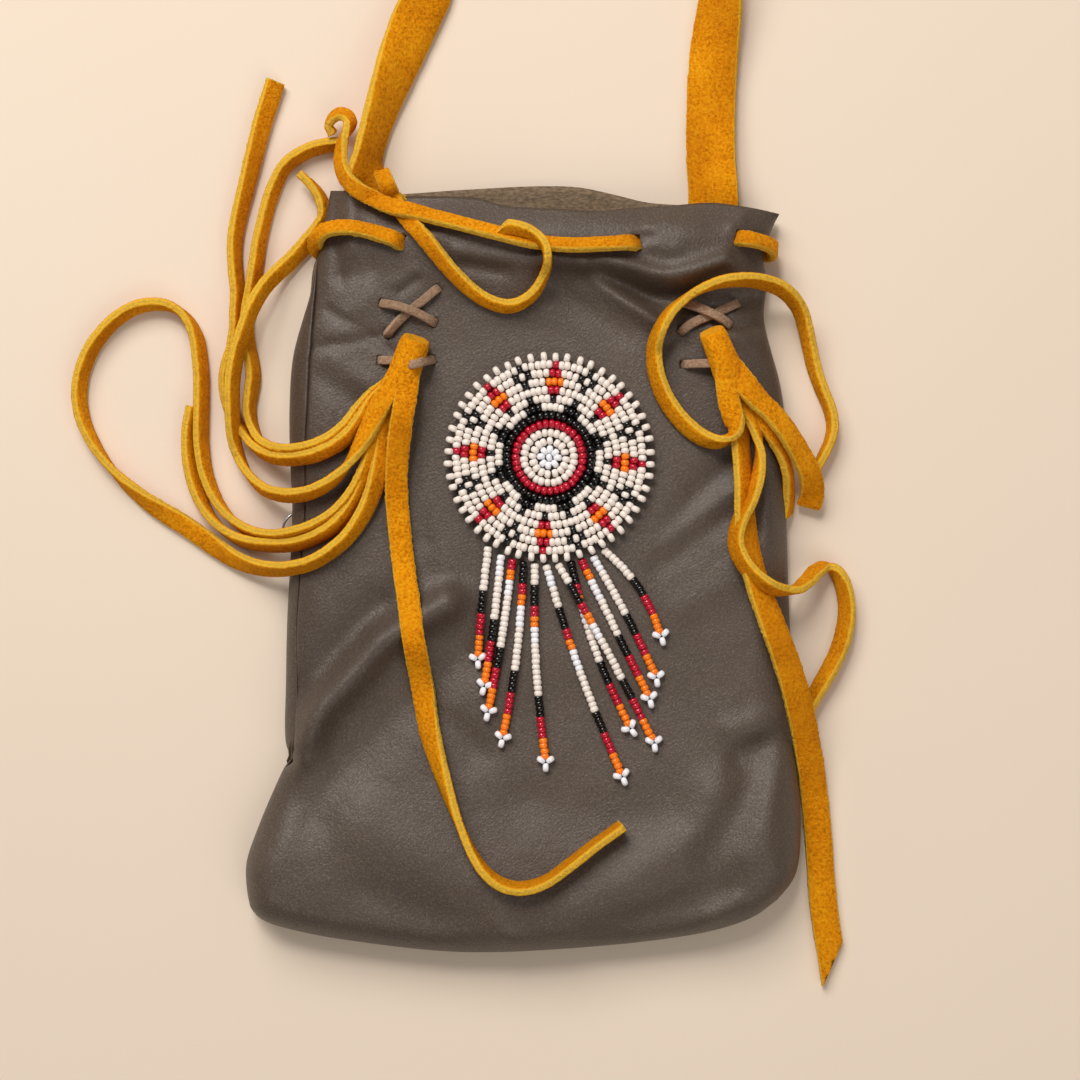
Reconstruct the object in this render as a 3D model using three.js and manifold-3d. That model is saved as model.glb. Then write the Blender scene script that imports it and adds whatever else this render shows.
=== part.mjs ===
// Soft leather phone pouch: two leather panels, a suede shoulder strap, a suede drawstring, two rolled
// suede tassels tied on with tan lacing, and a beaded rosette with a bead fringe.
// Millimetres. +Z is up from the table, +Y is toward the mouth. The pouch lies on its back.
import * as THREE from 'three';
import Module from 'manifold-3d';

const wasm = await Module();
wasm.setup();

// Space kept between neighbouring pieces.
const CLEARANCE = 0.3;

// Pouch body.
const POUCH_WIDTH = 141;
const POUCH_LENGTH = 194;
const LEATHER = 1.4;
const BODY_HEIGHT = 12;
const MOUTH_HEIGHT = 13;
const BASE_HEIGHT = 16;
const SEAM_HEIGHT = 2.5;
const SIDE_ROLL = 11;
const BASE_ROLL = 16;
const UNDER_ROLL = 2.5;
const BACK_LIFT = 2.6;
const LIFT_FROM = 56;
const LIFT_TO = 72;
const MOUTH_RISE_FROM = 70;
const MOUTH_RISE_TO = 86;
const BASE_PUFF_Y = -72;
const BASE_PUFF_SPREAD = 22;
const BASE_ROLL_FROM = -55;
const BASE_ROLL_TO = -85;
const SEAM_ANGLE = THREE.MathUtils.degToRad(43);
const SEAM_TAPER_FROM = 0.52;
const SEAM_TAPER_TO = 0.7;

// Outline of the lying pouch, as shares of its half width and half length.
const LEFT_SIDE = [
  [-0.692, 0.987], [-0.706, 0.932], [-0.733, 0.833], [-0.76, 0.731], [-0.828, 0.564], [-0.843, 0.418],
  [-0.84, 0.276], [-0.833, 0.161], [-0.84, 0.02], [-0.851, -0.132], [-0.856, -0.309], [-0.854, -0.432],
  [-0.862, -0.521], [-0.903, -0.586], [-0.957, -0.678], [-0.998, -0.777], [-0.983, -0.876],
];
const RIGHT_SIDE = [
  [0.915, 0.924], [0.887, 0.879], [0.861, 0.804], [0.874, 0.752], [0.864, 0.658], [0.894, 0.566],
  [0.919, 0.501], [0.938, 0.418], [0.946, 0.258], [0.948, 0.096], [0.959, -0.142], [0.967, -0.309],
  [0.973, -0.456], [0.987, -0.539], [0.998, -0.649], [0.987, -0.774], [0.965, -0.814], [0.912, -0.861],
];
const BASE_EDGE = [
  [-0.983, -0.876], [-0.926, -0.915], [-0.789, -0.947], [-0.601, -0.971], [-0.224, -0.999],
  [0.153, -0.99], [0.505, -0.965], [0.699, -0.939], [0.828, -0.905], [0.912, -0.861],
];
const FRONT_MOUTH = [
  [-0.692, 0.987], [-0.489, 0.969], [-0.298, 0.966], [-0.156, 0.959], [-0.064, 0.938], [0.128, 0.928],
  [0.262, 0.923], [0.397, 0.933], [0.504, 0.938], [0.674, 0.948], [0.773, 0.94], [0.915, 0.924],
];
const BACK_MOUTH = [
  [-0.692, 0.987], [-0.496, 0.979], [-0.227, 0.99], [0.057, 0.999], [0.199, 0.995], [0.333, 0.974],
  [0.44, 0.959], [0.638, 0.954], [0.915, 0.924],
];

// Soft folds in the front: where each starts and ends, how high it stands and how wide it is.
const FOLDS = [
  { from: [-22, -20], to: [-56, -52], height: 2.2, width: 7 },
  { from: [-22, -13], to: [-57, -43], height: -1.4, width: 4.5 },
  { from: [32, 76], to: [56, 70], height: 1.6, width: 4.5 },
  { from: [-2, 76], to: [26, 77], height: -0.8, width: 4 },
  { from: [44, 20], to: [62, 8], height: 0.9, width: 5 },
  { from: [44, -48], to: [66, -60], height: 1.4, width: 5 },
  { from: [40, -70], to: [64, -76], height: 1.2, width: 5 },
  { from: [-52, 60], to: [-40, 72], height: 0.7, width: 4 },
];

// Beaded rosette.
const ROSETTE_X = 6.5;
const ROSETTE_Y = 28;
const BACKING_RADIUS = 23.6;
const BACKING_THICKNESS = 0.8;
const BEAD_DIAMETER = 2.1;
const BEAD_PITCH = 1.5;
const BEAD_RING_WIDTH = 1.8;
const FIRST_RING_RADIUS = 2;
const RING_PITCH = 2.12;
const BEAD_RINGS = 11;
const PICOT_COUNT = 52;
const PICOT_LENGTH = 2.1;
const PICOT_WEB = 0.4;
const PICOT_HEIGHT = 1.5;
const VALLEY_SHARE = 0.55;
const FLAT_MARGIN = 4;
const FLAT_BLEND = 12;

// Bead fringe: each strand's tip, its bow to the right of a straight line, and its hop over a neighbour.
const FRINGE_FIRST_ANGLE = 235.7;
const FRINGE_ANGLE_STEP = 6.53;
const FRINGE_STATIONS = 16;
const FRINGE_STEP = 7.5;
const HOP_END = 0.75;
const HOP_FULLNESS = 0.7;
const FRINGE_TIPS = [
  { x: -13.6, y: -23.2, bow: -0.2, hop: 0 },
  { x: -11.4, y: -29, bow: 0.3, hop: 0 },
  { x: -8.5, y: -35.5, bow: 0.5, hop: 0 },
  { x: -5, y: -42, bow: 1, hop: 0 },
  { x: 5.5, y: -48, bow: -1, hop: 0 },
  { x: 24.5, y: -51.5, bow: -1, hop: 0 },
  { x: 32.5, y: -43, bow: 0.5, hop: 2.7 },
  { x: 26.5, y: -39.5, bow: -1.6, hop: 0 },
  { x: 31.5, y: -32, bow: 0, hop: 0 },
  { x: 33, y: -26, bow: 0.5, hop: 0 },
  { x: 36, y: -16, bow: 2, hop: 0 },
];

// Suede laces and straps: widths and thicknesses.
const STRAP_WIDTH = 12.5;
const STRAP_THICKNESS = 2.2;
const DRAWSTRING_WIDTH = 4;
const STRAND_WIDTH = 5;
const WIDE_STRAND_WIDTH = 5.6;
const SUEDE_THICKNESS = 1.8;
const LACING_WIDTH = 2.4;
const LACING_THICKNESS = 1.3;
const STRAP_STEP = 9;
const DRAWSTRING_STEP = 6;
const STRAND_STEP = 6.6;
const LACING_STEP = 2.4;
// A run whose plan share is less than this counts as upright and keeps the side it had.
const UPRIGHT_RUN = 0.3;

// Lacing: how far the slanted pass through the leather reaches on each side of a hole, and the tail inside.
const PASS_OUT = 2.2;
const PASS_IN = 2.6;
const LACING_TAIL = 3.8;
const LACING_SLIT = 5.4;
const DRAWSTRING_SLIT = 9.6;
const SLIT_DEPTH = 12;

// Coil of the unseen strap, lying beyond the mouth.
const COIL_X = 36;
const COIL_Y = 222;
const COIL_INNER = 23;
const COIL_OUTER = 47.4;
const COIL_SIDES = 32;
const TIE_WIDTH = 4;
const TIE_THICKNESS = 0.5;
const TIE_ANGLE = THREE.MathUtils.degToRad(75);

// Wire ring through the left edge.
const RING_RADIUS = 4.65;
const RING_WIRE = 0.7;
const RING_Y = 10;
const RING_Z = 2.9;
const RING_SHOWS = 2;
const RING_SIDES = 20;
const WIRE_SIDES = 6;

const leather = new THREE.MeshStandardMaterial({ name: 'taupe_leather', color: 0x61584e, roughness: 0.6 });
const suede = new THREE.MeshStandardMaterial({ name: 'golden_suede', color: 0xd98c14, roughness: 0.95 });
const tanLace = new THREE.MeshStandardMaterial({ name: 'tan_lace', color: 0xa58a75, roughness: 0.9 });
const felt = new THREE.MeshStandardMaterial({ name: 'backing_felt', color: 0xe6ddcf, roughness: 1 });
const tape = new THREE.MeshStandardMaterial({ name: 'cotton_tape', color: 0xd8cfbf, roughness: 1 });
const wire = new THREE.MeshStandardMaterial({ name: 'silver_wire', color: 0xc8c8c8, metalness: 1, roughness: 0.3 });
const creamBead = new THREE.MeshStandardMaterial({ name: 'cream_beads', color: 0xf0e8e0, roughness: 0.25 });
const whiteBead = new THREE.MeshStandardMaterial({ name: 'white_beads', color: 0xf0f2ff, roughness: 0.25 });
const redBead = new THREE.MeshStandardMaterial({ name: 'red_beads', color: 0xc01030, roughness: 0.25 });
const blackBead = new THREE.MeshStandardMaterial({ name: 'black_beads', color: 0x0b0b0d, roughness: 0.2 });

const group = new THREE.Group();

/** Adds one named piece to the pouch. */
function add(name, geometry, material) {
  const mesh = new THREE.Mesh(geometry, material);
  mesh.name = name;
  group.add(mesh);
  return mesh;
}

/** Smooth step from 0 to 1 as the value goes from one end to the other, either way round. */
function ease(value, from, to) {
  const share = THREE.MathUtils.clamp((value - from) / (to - from), 0, 1);
  return share * share * (3 - 2 * share);
}

/** Closed geometry from corner triples: joins equal corners, drops empty faces and faces outward. */
function solidFrom(triangles) {
  const corners = new Map();
  const positions = [];
  const faces = [];
  const indexOf = (point) => {
    const key = point.toArray().map((value) => Math.round(value * 1e4)).join(' ');
    if (!corners.has(key)) {
      corners.set(key, positions.length / 3);
      positions.push(point.x, point.y, point.z);
    }
    return corners.get(key);
  };
  let volume = 0;
  for (const [a, b, c] of triangles) {
    const face = [indexOf(a), indexOf(b), indexOf(c)];
    if (new Set(face).size === 3) {
      faces.push(face);
      volume += a.dot(new THREE.Vector3().crossVectors(b, c));
    }
  }
  const geometry = new THREE.BufferGeometry();
  geometry.setAttribute('position', new THREE.Float32BufferAttribute(positions, 3));
  geometry.setIndex(faces.flatMap(([a, b, c]) => (volume < 0 ? [a, c, b] : [a, b, c])));
  return geometry;
}

/** A geometry's corners joined by place, as a solid ready for cutting. */
function toSolid(geometry) {
  const place = geometry.getAttribute('position');
  const order = geometry.index ? Array.from(geometry.index.array) : Array.from({ length: place.count }, (_, i) => i);
  const triangles = [];
  for (let i = 0; i < order.length; i += 3) {
    triangles.push([0, 1, 2].map((k) => new THREE.Vector3().fromBufferAttribute(place, order[i + k])));
  }
  const joined = solidFrom(triangles);
  return new wasm.Manifold(new wasm.Mesh({
    numProp: 3,
    vertProperties: new Float32Array(joined.getAttribute('position').array),
    triVerts: new Uint32Array(joined.index.array),
  }));
}

/** A cut or joined solid back as a geometry. */
function fromSolid(solid) {
  const mesh = solid.getMesh();
  const geometry = new THREE.BufferGeometry();
  geometry.setAttribute('position', new THREE.Float32BufferAttribute(mesh.vertProperties, 3));
  geometry.setIndex(Array.from(mesh.triVerts));
  return geometry;
}

/** One geometry with each of the others taken away. */
function cut(geometry, cutters) {
  return fromSolid(cutters.reduce((solid, cutter) => solid.subtract(toSolid(cutter)), toSolid(geometry)));
}

/** A box cutter turned about Z, lying along a direction in plan. */
function slitBox(x, y, z, length, width, height, heading) {
  const box = new THREE.BoxGeometry(length, width, height);
  box.rotateZ(heading);
  box.translate(x, y, z);
  return box;
}

// The pouch's outline in plan.

/** Smooth curve through outline shares. */
function outlineCurve(shares) {
  const points = shares.map(([x, y]) => new THREE.Vector3(x * POUCH_WIDTH / 2, y * POUCH_LENGTH / 2, 0));
  return new THREE.CatmullRomCurve3(points, false, 'centripetal');
}

const leftEdge = outlineCurve(LEFT_SIDE);
const rightEdge = outlineCurve(RIGHT_SIDE);
const baseEdge = outlineCurve(BASE_EDGE);
const frontMouth = outlineCurve(FRONT_MOUTH);
const backMouth = outlineCurve(BACK_MOUTH);
const OUTLINE_STATIONS = 60;
const outline = [
  ...leftEdge.getSpacedPoints(OUTLINE_STATIONS),
  ...baseEdge.getSpacedPoints(OUTLINE_STATIONS),
  ...rightEdge.getSpacedPoints(OUTLINE_STATIONS).reverse(),
];

/** Distance from the sewn outline and the inward direction there. */
function insetAt(x, y) {
  const place = new THREE.Vector3(x, y, 0);
  const nearest = new THREE.Vector3();
  let inset = Infinity;
  let inward = new THREE.Vector3(0, 1, 0);
  for (let i = 1; i < outline.length; i += 1) {
    new THREE.Line3(outline[i - 1], outline[i]).closestPointToPoint(place, true, nearest);
    const distance = nearest.distanceTo(place);
    if (distance < inset && outline[i].distanceTo(outline[i - 1]) > 0) {
      const along = outline[i].clone().sub(outline[i - 1]).normalize();
      inset = distance;
      inward = new THREE.Vector3(-along.y, along.x, 0);
    }
  }
  return { inset, inward };
}

/** Place in the pouch's plan: across from left to right, and down from the mouth to the base. */
function planAt(mouth, across, down) {
  const left = leftEdge.getPointAt(down);
  const right = rightEdge.getPointAt(down);
  const top = mouth.getPointAt(across);
  const base = baseEdge.getPointAt(across);
  const sides = left.clone().lerp(right, across);
  const ends = top.clone().lerp(base, down);
  const upper = mouth.getPointAt(0).lerp(mouth.getPointAt(1), across);
  const lower = baseEdge.getPointAt(0).lerp(baseEdge.getPointAt(1), across);
  return sides.add(ends).sub(upper.lerp(lower, down));
}

// Heights of the two panels.

/** Height of one fold at a place. */
function foldHeight(fold, x, y) {
  const from = new THREE.Vector3(...fold.from, 0);
  const to = new THREE.Vector3(...fold.to, 0);
  const place = new THREE.Vector3(x, y, 0);
  const nearest = new THREE.Line3(from, to).closestPointToPoint(place, true, new THREE.Vector3());
  return fold.height * Math.exp(-((nearest.distanceTo(place) / fold.width) ** 2));
}

const rosetteReach = BACKING_RADIUS + PICOT_LENGTH + FLAT_MARGIN;

/** Height of the front's middle, away from its rolled edges. It is flat under the rosette. */
function fullness(x, y) {
  const away = Math.hypot(x - ROSETTE_X, y - ROSETTE_Y);
  const soft = ease(away, rosetteReach, rosetteReach + FLAT_BLEND);
  const puff = (BASE_HEIGHT - BODY_HEIGHT) * Math.exp(-(((y - BASE_PUFF_Y) / BASE_PUFF_SPREAD) ** 2));
  const mouth = (MOUTH_HEIGHT - BODY_HEIGHT) * ease(y, MOUTH_RISE_FROM, MOUTH_RISE_TO);
  const folds = FOLDS.reduce((sum, fold) => sum + foldHeight(fold, x, y), 0);
  return BODY_HEIGHT + soft * (puff + mouth + folds);
}

/** Height of the back above the table: it lifts near the mouth, where the drawstring runs under it. */
function backLift(y) {
  return BACK_LIFT * ease(y, LIFT_FROM, LIFT_TO);
}

/** Radius of the rolled edge, wider round the base. */
function rollRadius(y) {
  return SIDE_ROLL + (BASE_ROLL - SIDE_ROLL) * ease(y, BASE_ROLL_FROM, BASE_ROLL_TO);
}

/** Outer and inner points of the rolled edge: above the seam line at angles over 0, below it under 0. */
function rollPoint(x, y, inward, reach, rise, angle, seam) {
  const outer = new THREE.Vector3(x, y, seam + rise * Math.sin(angle));
  outer.addScaledVector(inward, reach * (1 - Math.cos(angle)));
  const facing = inward.clone().multiplyScalar(-rise * Math.cos(angle));
  facing.z = reach * Math.sin(angle);
  return { outer, inner: outer.clone().addScaledVector(facing.normalize(), -LEATHER) };
}

/** A point of the rolled edge right at the outline, on the front's or the back's side. */
function edgePoint(place, angle) {
  const { inward } = insetAt(place.x, place.y);
  const seam = backLift(place.y) + SEAM_HEIGHT;
  if (angle > 0) {
    const rise = fullness(place.x, place.y) - seam;
    return rollPoint(place.x, place.y, inward, rollRadius(place.y), rise, angle, seam);
  }
  return rollPoint(place.x, place.y, inward, UNDER_ROLL, SEAM_HEIGHT, angle, seam);
}

/** A point of the front panel's body. */
function topPoint(place) {
  const { inset, inward } = insetAt(place.x, place.y);
  const reach = rollRadius(place.y);
  const angle = Math.acos(1 - Math.min(inset / reach, 1));
  const seam = backLift(place.y) + SEAM_HEIGHT;
  const rise = fullness(place.x, place.y) - seam;
  const rolled = rollPoint(0, 0, inward, reach, rise, angle, seam);
  const shift = new THREE.Vector3(place.x - rolled.outer.x, place.y - rolled.outer.y, 0);
  return { outer: rolled.outer.add(shift), inner: rolled.inner.add(shift) };
}

/** A point of the back panel's body. */
function underPoint(place) {
  const { inset, inward } = insetAt(place.x, place.y);
  const angle = -Math.acos(1 - Math.min(inset / UNDER_ROLL, 1));
  const seam = backLift(place.y) + SEAM_HEIGHT;
  const rolled = rollPoint(0, 0, inward, UNDER_ROLL, SEAM_HEIGHT, angle, seam);
  const shift = new THREE.Vector3(place.x - rolled.outer.x, place.y - rolled.outer.y, 0);
  return { outer: rolled.outer.add(shift), inner: rolled.inner.add(shift) };
}

/** Closed sheet of leather from rows of outer and inner points. */
function sheetSolid(rows) {
  const triangles = [];
  const quad = (a, b, c, d) => triangles.push([a, b, c], [a, c, d]);
  const last = rows.length - 1;
  const end = rows[0].length - 1;
  for (let i = 0; i < last; i += 1) {
    for (let j = 0; j < end; j += 1) {
      quad(rows[i][j].outer, rows[i + 1][j].outer, rows[i + 1][j + 1].outer, rows[i][j + 1].outer);
      quad(rows[i][j].inner, rows[i][j + 1].inner, rows[i + 1][j + 1].inner, rows[i + 1][j].inner);
    }
    quad(rows[i][0].outer, rows[i][0].inner, rows[i + 1][0].inner, rows[i + 1][0].outer);
    quad(rows[i][end].inner, rows[i][end].outer, rows[i + 1][end].outer, rows[i + 1][end].inner);
  }
  for (let j = 0; j < end; j += 1) {
    quad(rows[0][j].outer, rows[0][j + 1].outer, rows[0][j + 1].inner, rows[0][j].inner);
    quad(rows[last][j].outer, rows[last][j].inner, rows[last][j + 1].inner, rows[last][j + 1].outer);
  }
  return solidFrom(triangles);
}

/** Evenly spaced shares from one to another, both ends included. */
function shares(from, to, count) {
  return Array.from({ length: count + 1 }, (_, i) => from + (to - from) * i / count);
}

const seamGap = CLEARANCE / 2 / (BODY_HEIGHT - SEAM_HEIGHT);
const underGap = CLEARANCE / 2 / SEAM_HEIGHT;

/** Angle of the turned seam round the left edge. It runs out at the fold near the base. */
function seamAngle(down) {
  return SEAM_ANGLE * (1 - ease(down, SEAM_TAPER_FROM, SEAM_TAPER_TO));
}

const EDGE_COLUMNS = [0.012, 0.046];
const FRONT_COLUMNS = [0, ...EDGE_COLUMNS, ...shares(0.09, 0.91, 11), ...EDGE_COLUMNS.map((u) => 1 - u).reverse(), 1];
const BACK_COLUMNS = [0.008, 0.022, ...shares(0.2, 0.8, 3), 0.978, 0.992, 1];
const PANEL_ROWS = [...shares(0, 0.92, 16), 0.96, 0.988, 1];
const WRAP_COLUMNS = shares(0, 1, 3);

const frontRows = PANEL_ROWS.map((down) => FRONT_COLUMNS.map((across) => {
  if (across === 0) {
    return edgePoint(leftEdge.getPointAt(down), seamAngle(down) + seamGap);
  }
  if (across === 1) {
    return edgePoint(rightEdge.getPointAt(down), seamGap);
  }
  if (down === 1) {
    return edgePoint(baseEdge.getPointAt(across), seamGap);
  }
  const start = SIDE_ROLL * (1 - Math.cos(seamAngle(down))) / POUCH_WIDTH;
  return topPoint(planAt(frontMouth, start + (1 - start) * across, down));
}));

const backRows = PANEL_ROWS.map((down) => {
  const turned = seamAngle(down);
  const wrap = WRAP_COLUMNS.map((share) => {
    const angle = (turned - seamGap) * (1 - share);
    const place = leftEdge.getPointAt(down);
    return edgePoint(place, turned > seamGap && angle > 0 ? angle : -underGap);
  });
  const body = BACK_COLUMNS.map((across) => {
    if (across === 1) {
      return edgePoint(rightEdge.getPointAt(down), -underGap);
    }
    if (down === 1) {
      return edgePoint(baseEdge.getPointAt(across), -underGap);
    }
    return underPoint(planAt(backMouth, across, down));
  });
  return [...wrap, ...body];
});

const frontSheet = sheetSolid(frontRows);
const backSheet = sheetSolid(backRows);

// What a lace lies on.

const probe = new THREE.Raycaster();
const bothFaces = new THREE.MeshBasicMaterial({ side: THREE.DoubleSide });
const probeTargets = [frontSheet, backSheet].map((sheet) => new THREE.Mesh(sheet, bothFaces));
const PROBE_HEIGHT = 100;

/** Heights of the pouch's outer and inner faces near a place. The table lies at 0 beside it. */
function groundAt(x, y, reach = 0) {
  const spots = reach ? [[0, 0], [reach, 0], [-reach, 0], [0, reach], [0, -reach]] : [[0, 0]];
  const faces = spots.map(([dx, dy]) => {
    probe.set(new THREE.Vector3(x + dx, y + dy, PROBE_HEIGHT), new THREE.Vector3(0, 0, -1));
    return probe.intersectObjects(probeTargets, false).map((hit) => hit.point.z);
  });
  const outer = Math.max(...faces.map(([first = 0]) => first));
  const inner = Math.min(...faces.map(([first = 0, second = first]) => second));
  return { outer, inner };
}

/** Lies on what is beneath, or a stated lift above it. */
const on = (lift) => (ground, half) => ground.outer + CLEARANCE + half + lift;
/** Lies just inside the front panel. */
const inside = (ground, half) => ground.inner - CLEARANCE - half;
/** Lies on the table under the pouch. */
const under = (ground, half) => CLEARANCE + half;
/** Middle at a stated height. */
const at = (height) => () => height;

/** Route of a flat lace, with its own turn about its length at each chosen point. */
class LaceRoute extends THREE.CatmullRomCurve3 {
  constructor(points, turns) {
    super(points, false, 'centripetal');
    this.turns = turns;
  }

  turnAt(share) {
    const place = this.getUtoTmapping(share) * (this.turns.length - 1);
    const before = Math.min(Math.floor(place), this.turns.length - 2);
    return THREE.MathUtils.lerp(this.turns[before], this.turns[before + 1], place - before);
  }

  computeFrenetFrames(steps) {
    const up = new THREE.Vector3(0, 0, 1);
    const frames = { tangents: [], normals: [], binormals: [] };
    let side = null;
    for (let i = 0; i <= steps; i += 1) {
      const tangent = this.getTangentAt(i / steps);
      const level = new THREE.Vector3().crossVectors(tangent, up);
      if (side && level.length() < UPRIGHT_RUN) {
        level.copy(side).addScaledVector(tangent, -side.dot(tangent));
      }
      level.normalize();
      if (side && level.dot(side) < 0) {
        level.negate();
      }
      side = level.clone();
      const turn = THREE.MathUtils.degToRad(this.turnAt(i / steps));
      const normal = level.clone().applyAxisAngle(tangent, -turn);
      frames.tangents.push(tangent);
      frames.normals.push(normal);
      frames.binormals.push(new THREE.Vector3().crossVectors(tangent, normal));
    }
    return frames;
  }
}

/** A flat lace along chosen points: place in plan, how it lies, and its turn in degrees. */
function lace(points, width, thickness, step) {
  const turns = points.map(([, , , turn]) => turn);
  const places = points.map(([x, y, lie, turn]) => {
    const angle = THREE.MathUtils.degToRad(turn);
    const half = (width * Math.abs(Math.sin(angle)) + thickness * Math.abs(Math.cos(angle))) / 2;
    const reach = (width * Math.abs(Math.cos(angle)) + thickness * Math.abs(Math.sin(angle))) / 2;
    return new THREE.Vector3(x, y, lie(groundAt(x, y, reach), half));
  });
  const route = new LaceRoute(places, turns);
  const section = new THREE.Shape([
    new THREE.Vector2(-width / 2, -thickness / 2),
    new THREE.Vector2(width / 2, -thickness / 2),
    new THREE.Vector2(width / 2, thickness / 2),
    new THREE.Vector2(-width / 2, thickness / 2),
  ]);
  const steps = Math.ceil(route.getLength() / step);
  return new THREE.ExtrudeGeometry(section, { steps, extrudePath: route, bevelEnabled: false });
}

// Routes of the laces, as they lie in use.

const DRAWSTRING = [
  [-47.5, 111, on(0.6), 70], [-49.3, 113, on(0.4), 80], [-48.3, 115.8, on(0.4), 80], [-46, 115.4, on(0.8), 80],
  [-45.8, 112, at(4), 60], [-47.2, 106, at(6.6), 30], [-47.4, 101, at(10.4), 10], [-45.2, 97.2, at(13.2), 0],
  [-40.5, 94, on(1), 0], [-36, 92.2, on(2.4), 0], [-30.5, 91, on(2.4), 0], [-23.5, 89.8, on(0.8), 0],
  [-17, 88, on(0), 0], [-7, 85.3, on(0), 0], [2.5, 82.5, on(0), 0], [12, 81.5, on(0), 0], [20, 81.8, on(0), 0],
  [24.5, 82, on(0.25), 0], [33, 82.5, inside, 0], [41, 83, inside, 0], [49, 83.4, inside, 0], [57, 83, on(0.4), 0],
  [60.5, 82.6, at(12.6), 0], [63.4, 82, at(9.6), 0], [64.4, 81.5, at(6), 0], [63.4, 81, at(2.6), 0],
  [59, 80.6, under, 0], [44.5, 80.5, under, 0], [24.5, 80.5, under, 0], [4, 80.5, under, 0], [-16, 80.5, under, 0],
  [-33.5, 80.5, under, 0], [-49.5, 80.5, under, 0], [-53.6, 81, at(2.4), 0], [-55.3, 82, at(5.2), 0],
  [-54.6, 84, at(8.8), 0], [-51.5, 85.8, at(12), 0], [-47.5, 86.8, on(0.3), 0], [-43, 87, on(0), 0],
  [-38.5, 86.2, on(0.2), 0], [-35, 85, on(0.3), 0], [-27, 82.4, inside, 20], [-23.8, 83.6, inside, 80],
  [-23.6, 88, inside, 90], [-26.8, 91.8, inside, 70], [-30.4, 94.8, at(9.9), 20], [-33.4, 98, at(10.2), 0],
  [-34.6, 101, at(10.9), 0], [-35.1, 102.6, at(12.8), 0], [-34.6, 101.2, at(14.7), 0], [-33.9, 98, at(15.1), 0],
  [-33.2, 94.8, on(0.6), 0], [-32.4, 91.5, on(0), 0], [-29.3, 87.6, on(0.9), 10], [-24.8, 82.6, on(0.6), 30],
  [-18.5, 74.5, on(0), 55], [-13.5, 70, on(0), 65], [-9, 68, on(0), 70], [-4, 66.6, on(0), 75],
  [-0.5, 67.5, on(0), 75], [3, 70, on(0), 70], [5.4, 74.4, on(0.4), 60], [6.2, 78.4, on(1.8), 35],
  [5.8, 82.5, on(2.6), 15], [4.2, 85.6, on(2.4), 0], [1.8, 87.6, on(1.2), 0], [-1.4, 88.6, on(0.2), 0],
];

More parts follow.
